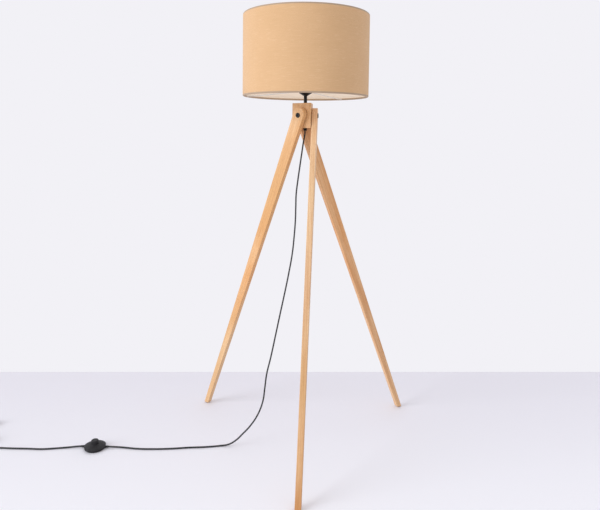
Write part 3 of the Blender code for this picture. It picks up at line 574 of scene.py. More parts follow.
# %% Beech
BOARDS = (
    (-1.27, (218, 176, 128)),
    (-1.00, (215, 174, 124)),
    (-0.67, (216, 151, 84)),
    (-0.30, (214, 162, 101)),
    (0.10, (217, 167, 113)),
    (0.83, (188, 126, 68)),
    (1.19, (205, 159, 105)),
    (1.50, (219, 175, 133)),
    (1.80, (227, 190, 146)),
    (2.15, (232, 186, 142)),
    (2.44, (220, 176, 130)),
    (2.88, (204, 148, 99)),
    (3.24, (212, 148, 88)),
    (3.75, (214, 160, 108)),
    (4.50, (206, 157, 104)),
)
BOARDS_FROM = -1.4
BOARDS_RUN = 6.2


def make_beech():
    finish = Finish("beech")
    grain = finish.own_place("grain")
    x, y, z = finish.parts(grain)
    stops = [((height - BOARDS_FROM) / BOARDS_RUN, tone(*colour)) for height, colour in BOARDS]
    board = finish.ramp((z - BOARDS_FROM) * (1 / BOARDS_RUN), stops)
    drift = finish.noise(finish.stretched(grain, (40.0, 40.0, 5.0)), 1.0, 3.0)
    streak = finish.noise(finish.stretched(grain, (330.0, 330.0, 6.0)), 1.0, 3.0, 0.6)
    sway = finish.noise(finish.stretched(grain, (9.0, 9.0, 1.4)), 1.0, 1.0)
    far = (x + 0.035) * (x + 0.035) + (y + 0.021) * (y + 0.021)
    ring = ((far ** 0.5) * 1650.0 + sway * 26.0 + drift * 5.0).sine()
    ring_line = ring.between(0.1, 1.0)
    fleck = finish.noise(finish.stretched(grain, (900.0, 1500.0, 95.0)), 1.0, 1.0)
    fleck_mark = fleck.between(0.60, 0.70)
    fibre = finish.noise(finish.stretched(grain, (700.0, 700.0, 14.0)), 1.0, 4.0, 0.65)
    drifted = finish.mix(drift.between(0.62, 0.32) * 0.45, board, tone(238, 202, 158))
    streaked = finish.mix(streak.between(0.50, 0.66) * 0.42, drifted, tone(190, 128, 72))
    ringed = finish.mix(ring_line * 0.30, streaked, tone(190, 134, 82))
    flecked = finish.mix(fleck_mark * 0.42, ringed, tone(164, 108, 66))
    fibred = finish.mix(fibre.between(0.35, 0.75) * 0.26, flecked, tone(240, 200, 152))
    height = fibre * 0.6 - fleck_mark * 0.5 - ring_line * 0.2
    return finish.surface(
        Base_Color=fibred,
        Roughness=0.40 + fibre * 0.16,
        Specular_IOR_Level=0.42,
        Coat_Weight=0.12,
        Coat_Roughness=0.28,
        Normal=finish.relief(height, 0.00006, 0.7),
    )


BEECH = make_beech()


# %% [markdown]
# ### Shade fabric
# The shade is covered in a plain linen-look weave. Threads cross every 0.7 mm, one over and one
# under, and the hollows where a thread dips under are painted darker, as painted shade. Real yarn
# is uneven, so single threads run thicker or paler for a few centimetres. The cloth carries a flat
# map in metres: the way round the shade, and the height. Within a few millimetres of each rim the
# cloth turns a darker, greyer brown.


# %% Shade fabric
THREAD = 0.0007
RIM_GREY_FULL, RIM_GREY_GONE = 0.0040, 0.0052  # the grey band by each rim is whole up to the first, gone by the second
CLOTH_LOW, CLOTH_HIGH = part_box("shade_fabric")


def make_cloth():
    finish = Finish("shade_cloth")
    flat = finish.uv()
    u, v, _ = finish.parts(flat)
    across = (u * (math.pi / THREAD)).sine()
    up = (v * (math.pi / THREAD)).sine()
    over = across * up
    weft = finish.noise(finish.stretched(flat, (14.0, 900.0, 1.0)), 1.0, 3.0, 0.6)
    warp = finish.noise(finish.stretched(flat, (900.0, 10.0, 1.0)), 1.0, 3.0, 0.6)
    slub = finish.noise(finish.stretched(flat, (34.0, 420.0, 1.0)), 1.0, 1.0).between(0.60, 0.74)
    cloud = finish.noise(finish.stretched(flat, (9.0, 9.0, 1.0)), 1.0, 2.0)
    yarn = finish.mix(weft, tone(210, 168, 121), tone(235, 196, 152))
    yarn = finish.mix(warp * 0.5, yarn, tone(219, 175, 129))
    yarn = finish.mix(slub * 0.35, yarn, tone(243, 212, 173))
    yarn = finish.mix(cloud.between(0.3, 0.7) * 0.16, yarn, tone(206, 164, 118))
    # Painted shade: the cloth is darker where one thread dips under the other, in the hollows of the weave.
    woven_with_painted_shade = finish.mix(over.between(-0.2, -1.0) * 0.35, yarn, tone(167, 126, 86))
    # The cloth is mixed towards a darker, greyer brown within a few millimetres of each rim.
    edge = v.between(CLOTH_LOW.z + RIM_GREY_GONE, CLOTH_LOW.z + RIM_GREY_FULL)
    edge += v.between(CLOTH_HIGH.z - RIM_GREY_GONE, CLOTH_HIGH.z - RIM_GREY_FULL)
    shaded = finish.mix(edge * 0.8, woven_with_painted_shade, tone(168, 149, 131))
    height = (across.math("ABSOLUTE") + up.math("ABSOLUTE")) * 0.5 + over * 0.5 + slub * 0.6 + weft * 0.4
    return finish.surface(
        Base_Color=shaded,
        Roughness=0.86,
        Specular_IOR_Level=0.25,
        Sheen_Weight=0.2,
        Sheen_Roughness=0.45,
        Sheen_Tint=(1.0, 0.97, 0.93),
        Normal=finish.relief(height, 0.00018, 0.8),
    )


CLOTH = make_cloth()


# %% [markdown]
# ### Lining, metals, plastics and rubber
# The shade is lined with a white film, and a faint emission on it paints the daylight that comes through the
# cloth.
# The wire frame has a white powder coat, the stem and bolts a black one, and both have the fine
# pebble that baked powder leaves. Bright parts are zinc plated with faint turning marks. The
# holder and plug are moulded in black plastic and the switch in charcoal, with a spark texture,
# and the cord's skin is softer.


# %% Lining and coated metals
def make_lining():
    finish = Finish("lining_film")
    place_ = finish.object_place()
    cloud = finish.noise(place_, 9.0, 2.0)
    fine = finish.noise(place_, 900.0, 2.0)
    return finish.surface(
        Base_Color=finish.mix(cloud, tone(232, 221, 208), tone(243, 235, 224)),
        Roughness=0.46 + fine * 0.18,
        Normal=finish.relief(fine + cloud * 2.0, 0.00004, 0.5),
        # Painted light: this glow paints the daylight that comes through the cloth.
        Emission_Color=tone(250, 226, 196),
        Emission_Strength=0.14,
    )


def make_powder(name, base, worn, roughness, metallic=0.0):
    finish = Finish(name)
    place_ = finish.object_place()
    pebble = finish.noise(place_, 1900.0, 2.0, 0.6)
    cloud = finish.noise(place_, 60.0, 3.0)
    return finish.surface(
        Base_Color=finish.mix(cloud.between(0.35, 0.75), base, worn),
        Roughness=roughness + pebble * 0.14,
        Metallic=metallic,
        Specular_IOR_Level=0.35,
        Normal=finish.relief(pebble, 0.00005, 0.6),
    )


def make_bright(name, base, shaded, turned_marks=1.0):
    finish = Finish(name)
    place_ = finish.object_place()
    marks = finish.noise(finish.stretched(place_, (120.0, 120.0, 5200.0)), 1.0, 2.0)
    cloud = finish.noise(place_, 210.0, 3.0, 0.6)
    return finish.surface(
        Base_Color=finish.mix(cloud.between(0.3, 0.75), base, shaded),
        Roughness=0.20 + cloud * 0.22,
        Metallic=1.0,
        Normal=finish.relief(marks, 0.00003, 0.5 * turned_marks),
    )


LINING = make_lining()
WHITE_POWDER = make_powder("white_powder_coat", tone(232, 230, 225), tone(222, 219, 213), 0.36)
BLACK_POWDER = make_powder("black_powder_coat", tone(13, 11, 10), tone(20, 18, 16), 0.42)
ZINC = make_bright("zinc_plate", tone(196, 198, 200), tone(150, 153, 158))
BRASS = make_bright("brass", tone(206, 168, 98), tone(166, 128, 66))


# %% Plastics, rubber and the rest
def make_moulded(name, base, worn, roughness, grain_size=2600.0, depth=0.00005):
    """Moulded plastic or rubber: a spark texture, slight mottling and a little dust."""
    finish = Finish(name)
    place_ = finish.object_place()
    spark = finish.cells(place_, grain_size)
    mottle = finish.noise(place_, 85.0, 3.0, 0.6)
    dust = finish.noise(place_, 420.0, 4.0, 0.7).between(0.62, 0.80)
    colour = finish.mix(mottle.between(0.35, 0.7), base, worn)
    return finish.surface(
        Base_Color=finish.mix(dust * 0.18, colour, tone(120, 117, 113)),
        Roughness=roughness + mottle * 0.10 + dust * 0.12,
        Specular_IOR_Level=0.3,
        Normal=finish.relief(spark + mottle * 0.6, depth, 0.55),
    )


def make_flex():
    """The cord's skin: soft mottling and a fine relief."""
    finish = Finish("cord_skin")
    place_ = finish.object_place()
    mottle = finish.noise(place_, 160.0, 3.0, 0.6)
    fine = finish.noise(place_, 1500.0, 2.0)
    return finish.surface(
        Base_Color=finish.mix(mottle.between(0.3, 0.75), tone(30, 30, 32), tone(46, 46, 48)),
        Roughness=0.46 + fine * 0.16,
        Normal=finish.relief(fine + mottle, 0.00004, 0.5),
    )


def make_opal():
    finish = Finish("opal_diffuser")
    place_ = finish.object_place()
    cloud = finish.noise(place_, 60.0, 2.0)
    fine = finish.noise(place_, 1800.0, 1.0)
    return finish.surface(
        Base_Color=finish.mix(cloud, tone(244, 242, 236), tone(250, 249, 246)),
        Roughness=0.30 + fine * 0.08,
        Subsurface_Weight=0.15,
        Subsurface_Radius=(0.004, 0.004, 0.004),
        Subsurface_Scale=1.0,
        Normal=finish.relief(fine, 0.00002, 0.4),
    )


BLACK_PLASTIC = make_moulded("black_plastic", tone(15, 14, 13), tone(23, 22, 21), 0.40)
SWITCH_PLASTIC = make_moulded("switch_plastic", tone(34, 33, 35), tone(46, 45, 47), 0.52)
BLACK_RUBBER = make_moulded("black_rubber", tone(30, 30, 31), tone(40, 40, 41), 0.62, 1400.0, 0.00008)
NYLON = make_moulded("glide_nylon", tone(66, 56, 49), tone(84, 73, 64), 0.48, 1500.0)
FIBRE = make_moulded("vulcanised_fibre", tone(96, 64, 45), tone(118, 82, 60), 0.7, 1200.0, 0.00008)
CERAMIC = make_moulded("holder_ceramic", tone(226, 219, 206), tone(238, 232, 221), 0.28, 900.0)
WHITE_PLASTIC = make_moulded("white_plastic", tone(236, 235, 232), tone(243, 242, 240), 0.3, 2600.0, 0.00003)
FLEX = make_flex()
OPAL = make_opal()

# %% [markdown]
# ## Stage and light
# The lamp stands on a pale floor in front of a plain wall. A wide soft lamp on the left models the
# drum and the legs, and the bright room fills the rest, so shadows stay faint. The wall is there
# for a viewer in front only, so that the lamp can be looked at from behind as well.


# %% Floor and wall
WALL_LINE = -0.195  # the wall's foot in the view, in widths of it from the middle


def make_floor():
    fresh()
    bpy.ops.mesh.primitive_plane_add(size=14.0, location=(0, 0, 0))
    floor = added("floor")
    finish = Finish("floor_paint")
    place_ = finish.object_place()
    _, y, _ = finish.parts(place_)
    # Painted light: the floor is painted lighter near the camera and darker towards the wall, a painted fall-off
    # of the room's light.
    painted_falloff_mask = y.between(-0.9, 0.75)
    speck = finish.noise(place_, 300.0, 2.0)
    paint = finish.mix(painted_falloff_mask, tone(248, 248, 251), tone(229, 227, 233))
    finish.surface(Base_Color=paint, Roughness=0.62 + speck * 0.1, Specular_IOR_Level=0.2)
    floor.data.materials.append(finish.material)
    return floor


def make_wall():
    left, right = seen_on_floor(-0.5, WALL_LINE), seen_on_floor(0.5, WALL_LINE)
    middle, along = (left + right) / 2, (right - left).normalized()
    width, height = 14.0, 6.0
    fresh()
    bpy.ops.mesh.primitive_plane_add(size=1.0, location=(0, 0, 0))
    wall = added("wall")
    wall.scale = (width, height, 1)
    turn = Matrix.Rotation(math.atan2(along.y, along.x), 4, "Z")
    upright = Matrix.Rotation(math.pi / 2, 4, "X")
    place(wall, Matrix.Translation(middle + Vector((0, 0, height / 2))) @ turn @ upright)
    finish = Finish("wall_paint")
    glow = finish.node("ShaderNodeEmission", None, {"Color": (*tone(242, 241, 246), 1), "Strength": 1.0})
    clear = finish.node("ShaderNodeBsdfTransparent")
    behind = finish.node("ShaderNodeNewGeometry").outputs["Backfacing"]
    mixed = finish.node("ShaderNodeMixShader", None, {0: behind, 1: glow.outputs[0], 2: clear.outputs[0]})
    finish.links.new(mixed.outputs[0], finish.nodes["Material Output"].inputs[0])
    wall.data.materials.append(finish.material)
    print("wall stands at y =", round(middle.y, 3))


make_floor()
make_wall()


# %% Light
KEY_STRENGTH = 1.73
ROOM_STRENGTH = 0.82


def make_key():
    """Daylight from the left: far away, so that it is even over the floor, and wide, so soft."""
    towards = Vector((-2.6, -1.41, 1.1))
    fresh()
    bpy.ops.object.light_add(type="SUN", location=AXIS + towards)
    key = bpy.context.object
    key.name = "key"
    key.data.energy = KEY_STRENGTH
    key.data.color = (0.97, 1.0, 1.06)
    key.data.angle = math.radians(35)
    key.rotation_euler = towards.to_track_quat("Z", "Y").to_euler()


make_key()
world = bpy.data.worlds.new("room")
world.use_nodes = True
world.node_tree.nodes["Background"].inputs["Color"].default_value = (*tone(244, 243, 247), 1)
world.node_tree.nodes["Background"].inputs["Strength"].default_value = ROOM_STRENGTH
bpy.context.scene.world = world
bpy.context.scene.view_settings.view_transform = "Standard"

# %% [markdown]
# ## Hub
# The hub is a block of beech with three faces, one for each leg, and a small flat on each corner.
# A cylinder with three sides is already that block. Its upright edges are bevelled, a pocket for
# the nut and a bore for the rod are cut from below, and the outline is softened with sandpaper,
# which here is a narrow bevel.

# %% Hub
HUB_LOW, HUB_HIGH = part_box("hub")
HUB_HEIGHT = HUB_HIGH.z - HUB_LOW.z
HUB_INRADIUS = 0.024
FACE_TURN = math.atan2(FRAMES["left"][1][0], FRAMES["left"][0][0])
GRAIN_HUB = Vector((0.112, 0.031, 4.5))


def carry_grain(piece, matrix, offset):
    """Stores where each point lies in the board that the piece was sawn from."""
    back = matrix.inverted()
    grain = piece.data.attributes.new("grain", "FLOAT_VECTOR", "POINT")
    for stored, vert in zip(grain.data, piece.data.vertices):
        stored.vector = back @ vert.co + offset


def rod_shaped(name, radius, length, matrix, sides=48):
    """A plain cylinder along the Z axis of a matrix, for cutting."""
    fresh()
    bpy.ops.mesh.primitive_cylinder_add(vertices=sides, radius=radius, depth=length, location=(0, 0, 0))
    tool = added(name)
    place(tool, matrix)
    return tool


def make_hub():
    fresh()
    bpy.ops.mesh.primitive_cylinder_add(
        vertices=3, radius=2 * HUB_INRADIUS, depth=HUB_HEIGHT, location=(0, 0, 0)
    )
    hub = added("beech_hub")
    edit(hub, "EDGE")
    pick(hub, "edges", lambda e: abs(e.verts[0].co.z - e.verts[1].co.z) > HUB_HEIGHT / 2)
    bpy.ops.mesh.bevel(offset_type="WIDTH", offset=0.0015, segments=1)
    middle = Matrix.Translation(AXIS + Vector((0, 0, PIVOT_Z)))
    place(hub, middle @ Matrix.Rotation(FACE_TURN + math.radians(60), 4, "Z"))
    round_edges(hub, 0.0008)
    bore = rod_shaped("bore", 0.0053, HUB_HEIGHT * 2, middle)
    pocket_at = Matrix.Translation(AXIS + Vector((0, 0, HUB_LOW.z)))
    pocket = rod_shaped("pocket", 0.0145, 0.018, pocket_at)
    cut(hub, bore, pocket)
    smooth(hub, 30.0, weighted=True)
    carry_grain(hub, middle @ Matrix.Rotation(FACE_TURN, 4, "Z"), GRAIN_HUB)
    hand_over(hub, BEECH, "hub_and_holder", "beech", "hub")


make_hub()

# %% [markdown]
# ## Legs
# Each leg is a flat board with a round head. The head is a circle whose lower half is deleted, so
# that its two open ends can be drawn down to the foot and brought together for the taper. The
# outline is filled, thickened, tilted, and sawn off level with the floor.

# %% Legs
LEG_LENGTH = 1.264
LEG_SPLAY = math.radians(21.05)
LEG_THICKNESS = 0.0195
LEG_TOP_WIDTH = 0.0455
LEG_FOOT_WIDTH = 0.0185
LEG_TOP_RISE = 0.0052
FOOT_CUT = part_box("leg_left")[0].z


def make_leg(name, offset):
    fresh()
    bpy.ops.mesh.primitive_circle_add(
        vertices=72, radius=LEG_TOP_WIDTH / 2, location=(0, 0, 0), rotation=(math.pi / 2, 0, 0)
    )
    leg = added(f"beech_leg_{name}")
    place(leg, Matrix.Identity(4))
    edit(leg, "VERT")
    pick(leg, "verts", lambda v: v.co.z < -1e-5)
    bpy.ops.mesh.delete(type="VERT")
    pick(leg, "verts", lambda v: abs(v.co.z) < 1e-5)
    run = LEG_LENGTH + LEG_TOP_RISE + 0.01
    bpy.ops.mesh.extrude_vertices_move(TRANSFORM_OT_translate={"value": (0, 0, -run)})
    taper = (LEG_TOP_WIDTH - LEG_FOOT_WIDTH) / (LEG_LENGTH + LEG_TOP_RISE)
    bpy.ops.transform.resize(value=(1 - taper * run / LEG_TOP_WIDTH, 1, 1), center_override=(0, 0, 0))
    bpy.ops.mesh.select_all(action="SELECT")
    bpy.ops.mesh.edge_face_add()
    bpy.ops.mesh.extrude_region_move(TRANSFORM_OT_translate={"value": (0, LEG_THICKNESS, 0)})
    bpy.ops.mesh.select_all(action="SELECT")
    bpy.ops.mesh.normals_make_consistent(inside=False)
    tilt = FRAMES[name] @ Matrix.Rotation(-LEG_SPLAY, 4, "Y")
    place(leg, tilt @ Matrix.Translation((0, -LEG_THICKNESS / 2, LEG_TOP_RISE)))
    edit(leg)
    bpy.ops.mesh.select_all(action="SELECT")
    bpy.ops.mesh.bisect(plane_co=(0, 0, FOOT_CUT), plane_no=(0, 0, 1), use_fill=True, clear_inner=True)
    round_edges(leg, 0.0016)
    cut(leg, rod_shaped("bore", 0.0044, 0.05, tilt @ Matrix.Rotation(math.pi / 2, 4, "X")))
    smooth(leg, 30.0, weighted=True)
    carry_grain(leg, tilt, offset)
    hand_over(leg, BEECH, f"leg_{name}", "beech", f"leg_{name}")


for leg_name, leg_grain in zip(LEG_NAMES, ((0.0, 0.0, 0.0), (0.083, 0.047, 2.1), (0.041, 0.129, 3.7))):
    make_leg(leg_name, Vector(leg_grain))

# %% [markdown]
# ## Bolts
# A black furniture bolt with a wide flat head holds each leg. The head is turned, with a rounded
# rim, and a six-sided prism cuts the socket for the key.

# %% Bolts
HEAD_SEAT = LEG_THICKNESS / 2 + 0.0003
HEAD_TOP = HEAD_SEAT + 0.0024
SHANK_END = -0.0234


def make_bolt(name):
    section = [(0.0, HEAD_TOP), (0.0058, HEAD_TOP)]
    section += arc((0.0074, HEAD_TOP - 0.0013), (0.0014, 0.0013), 80, 0, 5)
    section += [(0.0088, HEAD_SEAT + 0.0003), (0.0085, HEAD_SEAT), (0.0040, HEAD_SEAT)]
    section += [(0.0040, SHANK_END + 0.001), (0.0030, SHANK_END), (0.0, SHANK_END)]
    bolt = lathe(f"black_bolt_{name}", section, 64, closed=False)
    socket_at = Matrix.Translation((0, 0, HEAD_TOP + 0.0005))
    socket = rod_shaped("socket", 0.0029, 0.0080, socket_at, sides=6)
    cut(bolt, socket)
    outwards = FRAMES[name] @ Matrix.Rotation(-math.pi / 2, 4, "X")
    place(bolt, outwards)
    smooth(bolt, 32.0)
    hand_over(bolt, BLACK_POWDER, "hub_and_holder", "black_steel", f"pivot_bolt_{name}")


for bolt_name in LEG_NAMES:
    make_bolt(bolt_name)

# %% [markdown]
# ## Stem and holder
# Everything from the stem to the bulb is turned, so each piece is half a section spun round the
# axis. The holder's body has a coarse outer thread, and the ribbed ring screws down it and clamps
# the shade's frame. The ribs are faces of the ring, every other pair pushed outwards.


# %% Stem and holder
def threaded(radius, depth, low, high, pitch):
    """The outer line of a thread from high to low: crests and roots with sloping flanks."""
    points = []
    count = round((high - low) / pitch)
    for i in range(count):
        top = high - i * pitch
        points += [(radius - depth, top), (radius, top - pitch * 0.3), (radius, top - pitch * 0.5)]
        points += [(radius - depth, top - pitch * 0.8)]
    return points


def upright(name, section, look, body, slot, *nodes, steps=64, angle=35.0, closed=True):
    """A turned piece on the stem's axis, finished and handed over."""
    piece = lathe(name, section, steps, closed)
    place(piece, Matrix.Translation(AXIS))
    smooth(piece, angle)
    return hand_over(piece, look, body, slot, *nodes)


def make_stem():
    low, high = STEM_LOW.z, STEM_HIGH.z
    section = [(0.0056, high), (0.0060, high - 0.0004), (0.0060, low + 0.0004), (0.0056, low)]
    section += [(0.0053, low), (0.0053, high)]
    upright("black_stem", section, BLACK_POWDER, "hub_and_holder", "black_steel", "stem_sleeve", steps=48)


def make_holder_cap():
    low, high = bottom_and_top("holder_cap")
    section = [(0.0203, high), (0.0226, high), (0.0230, high - 0.0004), (0.0230, high - 0.0021)]
    section += arc((0.0222, low + 0.0106), 0.0008, 0, -57, 4)
    section += arc((0.0078, low + 0.0010), (0.0010, 0.0010), -140, -180, 3)[:2]
    section += [(0.0068, low + 0.0004), (0.0068, low), (0.0053, low), (0.0053, low + 0.0039)]
    section += [(0.0125, low + 0.0070), (0.0203, low + 0.0112)]
    upright(
        "holder_cap_black", section, BLACK_PLASTIC,
        "hub_and_holder", "black_plastic", "holder_cap", steps=96,
    )


def make_holder_body():
    low, high = bottom_and_top("holder_body")
    section = arc((0.0187, high - 0.0010), 0.0010, 90, 0, 4)
    section += [(0.01975, high - 0.0140), (0.01945, high - 0.0146)]
    section += threaded(0.01975, 0.0005, low + 0.004, high - 0.0156, 0.0022)
    section += [(0.0194, low + 0.002), (0.0194, low), (0.01775, low), (0.01775, high - 0.003)]
    section += [(0.0147, high - 0.003), (0.0147, high - 0.0003), (0.0150, high)]
    upright("holder_body_black", section, BLACK_PLASTIC, "hub_and_holder", "black_plastic", "holder_body")


def make_screw_shell():
    low, high = bottom_and_top("holder_screw_shell")
    outer = [(0.01415, high)] + threaded(0.01415, 0.0004, low + 0.002, high - 0.001, 0.003625)
    inner = [(r - 0.0004, z) for r, z in outer]
    section = outer + [(0.0138, low), (0.0134, low)] + inner[::-1]
    upright(
        "brass_screw_shell", section, BRASS, "hub_and_holder", "brass", "holder_screw_shell", steps=56
    )


def make_clamp_ring():
    low, high = bottom_and_top("shade_clamp_ring")
    rim = 0.0274
    section = [(0.0202, high), (rim - 0.0006, high), (rim, high - 0.0006), (rim, low + 0.0006)]
    section += [(rim - 0.0006, low), (0.0202, low)]
    ring = lathe("ribbed_clamp_ring", section, 90)
    edit(ring)
    pick(
        ring,
        "faces",
        lambda f: Vector(f.calc_center_median().xy).length > rim - 0.0002
        and abs(f.normal.z) < 0.1
        and round(math.degrees(math.atan2(f.calc_center_median().y, f.calc_center_median().x)) / 4 + 0.5) % 3,
    )
    bpy.ops.mesh.extrude_region_shrink_fatten(TRANSFORM_OT_shrink_fatten={"value": 0.0006})
    place(ring, Matrix.Translation(AXIS))
    smooth(ring, 25.0)
    hand_over(ring, BLACK_PLASTIC, "hub_and_holder", "black_plastic", "shade_clamp_ring")


def make_gland():
    low, high = bottom_and_top("cord_gland")
    section = [(0.0053, high), (0.0068, high)]
    for i in range(4):
        top = high - 0.0035 - i * 0.0012
        section += [(0.0068, top), (0.0064, top - 0.0002)]
        section += [(0.0064, top - 0.0006), (0.0068, top - 0.0008)]
    section += arc((0.0055, low + 0.0013), 0.0013, 0, -80, 4)
    section += [(0.0031, low), (0.0031, low + 0.004), (0.0053, low + 0.004)]
    upright("gland_black", section, BLACK_PLASTIC, "hub_and_holder", "black_plastic", "cord_gland", steps=48)


make_stem()
make_holder_cap()
make_holder_body()
make_screw_shell()
make_clamp_ring()
make_gland()

# %% [markdown]
# ## Bulb
# The bulb is an LED lamp with a screw cap, a white housing that widens in a soft curve, and an opal
# dome. It is not lit. The cap, housing and dome are turned like the holder.


# %% Bulb
def make_bulb():
    low, high = bottom_and_top("bulb_cap")
    cap = [(0.0, high), (0.0124, high), (0.0126, high - 0.0012)]
    cap += threaded(0.0132, 0.0007, low + 0.0055, high - 0.0018, 0.00363)
    cap += [(0.0118, low + 0.0045), (0.0062, low + 0.0004), (0.0058, low), (0.0, low)]
    upright("bulb_screw_cap", cap, ZINC, "bulb", "zinc_steel", "bulb_cap", steps=56, closed=False)
    low, high = bottom_and_top("bulb_body")
    housing = [(0.0, high), (0.0262, high), (0.0270, high - 0.0004)]
    housing += arc((0.0272, high - 0.0012), 0.0008, 70, -30, 4)
    housing += [(0.0272, high - 0.0030), (0.0266, high - 0.0034), (0.0262, high - 0.0060)]
    for i in range(1, 9):
        share = i / 8
        radius = 0.0262 - (0.0262 - 0.0140) * eased(share)
        housing.append((radius, high - 0.0060 - share * 0.0280))
    housing += [(0.0131, low + 0.0062), (0.0128, low + 0.0050), (0.0128, low), (0.0, low)]
    upright(
        "bulb_housing", housing, WHITE_PLASTIC, "bulb", "white_plastic", "bulb_body", steps=72, closed=False
    )
    low, high = bottom_and_top("bulb_dome")
    centre = high - 0.030
    outside = arc((0, centre), 0.030, 90, -20.5, 18)
    inside = arc((0, centre), 0.0286, -21.2, 90, 16)
    dome = [(0.0, outside[0][1])] + outside[1:] + inside[:-1] + [(0.0, inside[-1][1])]
    upright("bulb_dome_opal", dome, OPAL, "bulb", "opal", "bulb_dome", steps=72, angle=50.0, closed=False)


make_bulb()

# %% [markdown]
# ## Shade
# The drum is a sheet of cloth laminated on film and wrapped once round two wire rings. Its long
# edges are rolled round the rings and tucked between them and the lining, and its ends lap at the
# back. So the cloth's section is drawn as one line, from the tuck round the lower ring, up the
# wall and round the upper ring, and given the thickness of cloth after it is spun.

# %% Cloth
SHADE_RADIUS = (CLOTH_HIGH.x - CLOTH_LOW.x) / 2
WIRE_RADIUS = 0.002
WIRE_TRACK = 0.221
LOWER_WIRE_Z = CLOTH_LOW.z + 0.0023
UPPER_WIRE_Z = CLOTH_HIGH.z - 0.0023
CLOTH_THICKNESS = 0.0008


def map_cloth(piece):
    """A flat map of the cloth in metres: the way round from the back seam, and the height."""
    layer = piece.data.uv_layers.new(name="cloth")
    for face in piece.data.polygons:
        middle = math.atan2(face.center.x - AXIS.x, AXIS.y - face.center.y)
        for loop in face.loop_indices:
            point = piece.data.vertices[piece.data.loops[loop].vertex_index].co
            turn = math.atan2(point.x - AXIS.x, AXIS.y - point.y) - middle
            turn = math.remainder(turn, 2 * math.pi)
            layer.data[loop].uv = ((middle + turn) * SHADE_RADIUS, point.z)


def make_cloth_drum():
    roll = (SHADE_RADIUS - WIRE_TRACK, 0.0033)
    section = arc((WIRE_TRACK, LOWER_WIRE_Z), roll, -250, 0, 14)
    wall = [LOWER_WIRE_Z + (UPPER_WIRE_Z - LOWER_WIRE_Z) * i / 12 for i in range(1, 12)]
    section += [(SHADE_RADIUS, height) for height in wall]
    section += arc((WIRE_TRACK, UPPER_WIRE_Z), roll, 0, 250, 14)
    drum = lathe("shade_cloth", section, 180, closed=False)
    place(drum, Matrix.Translation(AXIS))
    modify(drum, "SOLIDIFY", thickness=CLOTH_THICKNESS, offset=-1.0, use_even_offset=True)
    smooth(drum, 50.0)
    map_cloth(drum)
    return hand_over(drum, CLOTH, "shade", "shade_fabric", "shade_fabric")


def make_seam():
    """The lap at the back, where the cloth's end is turned under and glued."""
    section = [(SHADE_RADIUS + 0.0001, UPPER_WIRE_Z), (SHADE_RADIUS + 0.0007, UPPER_WIRE_Z - 0.0006)]
    section += [(SHADE_RADIUS + 0.0007, LOWER_WIRE_Z + 0.0006), (SHADE_RADIUS + 0.0001, LOWER_WIRE_Z)]
    seam = lathe("shade_seam", section, 360, closed=True, sweep=3.0)
    edit(seam, "EDGE")
    bpy.ops.mesh.select_non_manifold()
    bpy.ops.mesh.edge_face_add()
    place(seam, Matrix.Translation(AXIS) @ Matrix.Rotation(math.radians(88.5), 4, "Z"))
    smooth(seam, 40.0)
    map_cloth(seam)
    return hand_over(seam, CLOTH, "shade", "shade_fabric")


drum = make_cloth_drum()
seam = make_seam()

# %% [markdown]
# ### Lining and wire frame
# The lining is the white film inside the cloth, tucked under the hems. The frame is welded from
# round wire and a flat ring that sits on the holder: one ring at the bottom, three arms that rise
# to the middle, and a loose ring at the top.


# %% Lining and frame
def make_lining_drum():
    low, high = CLOTH_LOW.z + 0.003, CLOTH_HIGH.z - 0.003
    section = [(0.2239, high), (0.2239, low), (0.2233, low), (0.2233, high)]
    upright("shade_lining", section, LINING, "shade", "shade_liner", "shade_liner", steps=180)


def wire_ring(name, height):
    fresh()
    bpy.ops.mesh.primitive_torus_add(
        major_radius=WIRE_TRACK,
        minor_radius=WIRE_RADIUS,
        major_segments=144,
        minor_segments=12,
        location=AXIS + Vector((0, 0, height)),
    )
    ring = added(name)
    place(ring, Matrix.Identity(4))
    smooth(ring, 60.0)
    return ring


def make_arm(azimuth, seat):
    """One arm, from a weld on the flat ring down to the lower wire."""
    out = Vector((math.cos(math.radians(azimuth)), math.sin(math.radians(azimuth)), 0))
    route = [(0.0238, seat), (0.034, seat - 0.0004), (0.060, seat - 0.0030), (0.120, seat - 0.0085)]
    route += [(0.190, seat - 0.0150), (0.210, LOWER_WIRE_Z + 0.0006), (0.2195, LOWER_WIRE_Z)]
    arm = smooth_curve("arm", [AXIS + out * r + Vector((0, 0, z)) for r, z in route], 0.0015, 3)
    fresh(arm)
    bpy.ops.object.convert(target="MESH")
    return bpy.context.object


def make_frame():
    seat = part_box("shade_clamp_ring")[0].z - 0.00105
    plate = lathe(
        "plate",
        [(0.0252, seat + 0.0008), (0.0255, seat + 0.0005), (0.0255, seat - 0.0005), (0.0252, seat - 0.0008)]
        + [(0.0203, seat - 0.0008), (0.0203, seat + 0.0008)],
        72,
    )
    place(plate, Matrix.Translation(AXIS))
    arms = [make_arm(azimuth, seat) for azimuth in (50.0, 170.0, 290.0)]
    whole = joined("shade_wire_frame", [plate, wire_ring("lower", LOWER_WIRE_Z), *arms])
    edit(whole)
    bpy.ops.mesh.select_all(action="SELECT")
    bpy.ops.mesh.remove_doubles(threshold=1e-6)
    smooth(whole, 45.0)
    hand_over(whole, WHITE_POWDER, "shade", "white_steel", "shade_carrier")
    upper = wire_ring("upper_wire_ring", UPPER_WIRE_Z)
    hand_over(upper, WHITE_POWDER, "shade", "white_steel", "shade_ring_upper")


make_lining_drum()
make_frame()

# %% [markdown]
# ## Foot switch
# The switch is a low round cone of charcoal plastic with a tall button, pressed with a foot. A
# collar guides the button, a seam runs round where the dome meets the tray, and the cord enters
# through a short rubber sleeve on each side.

# %% Foot switch
SWITCH_AXIS = Matrix.Translation((SWITCH_AT.x, SWITCH_AT.y, 0))


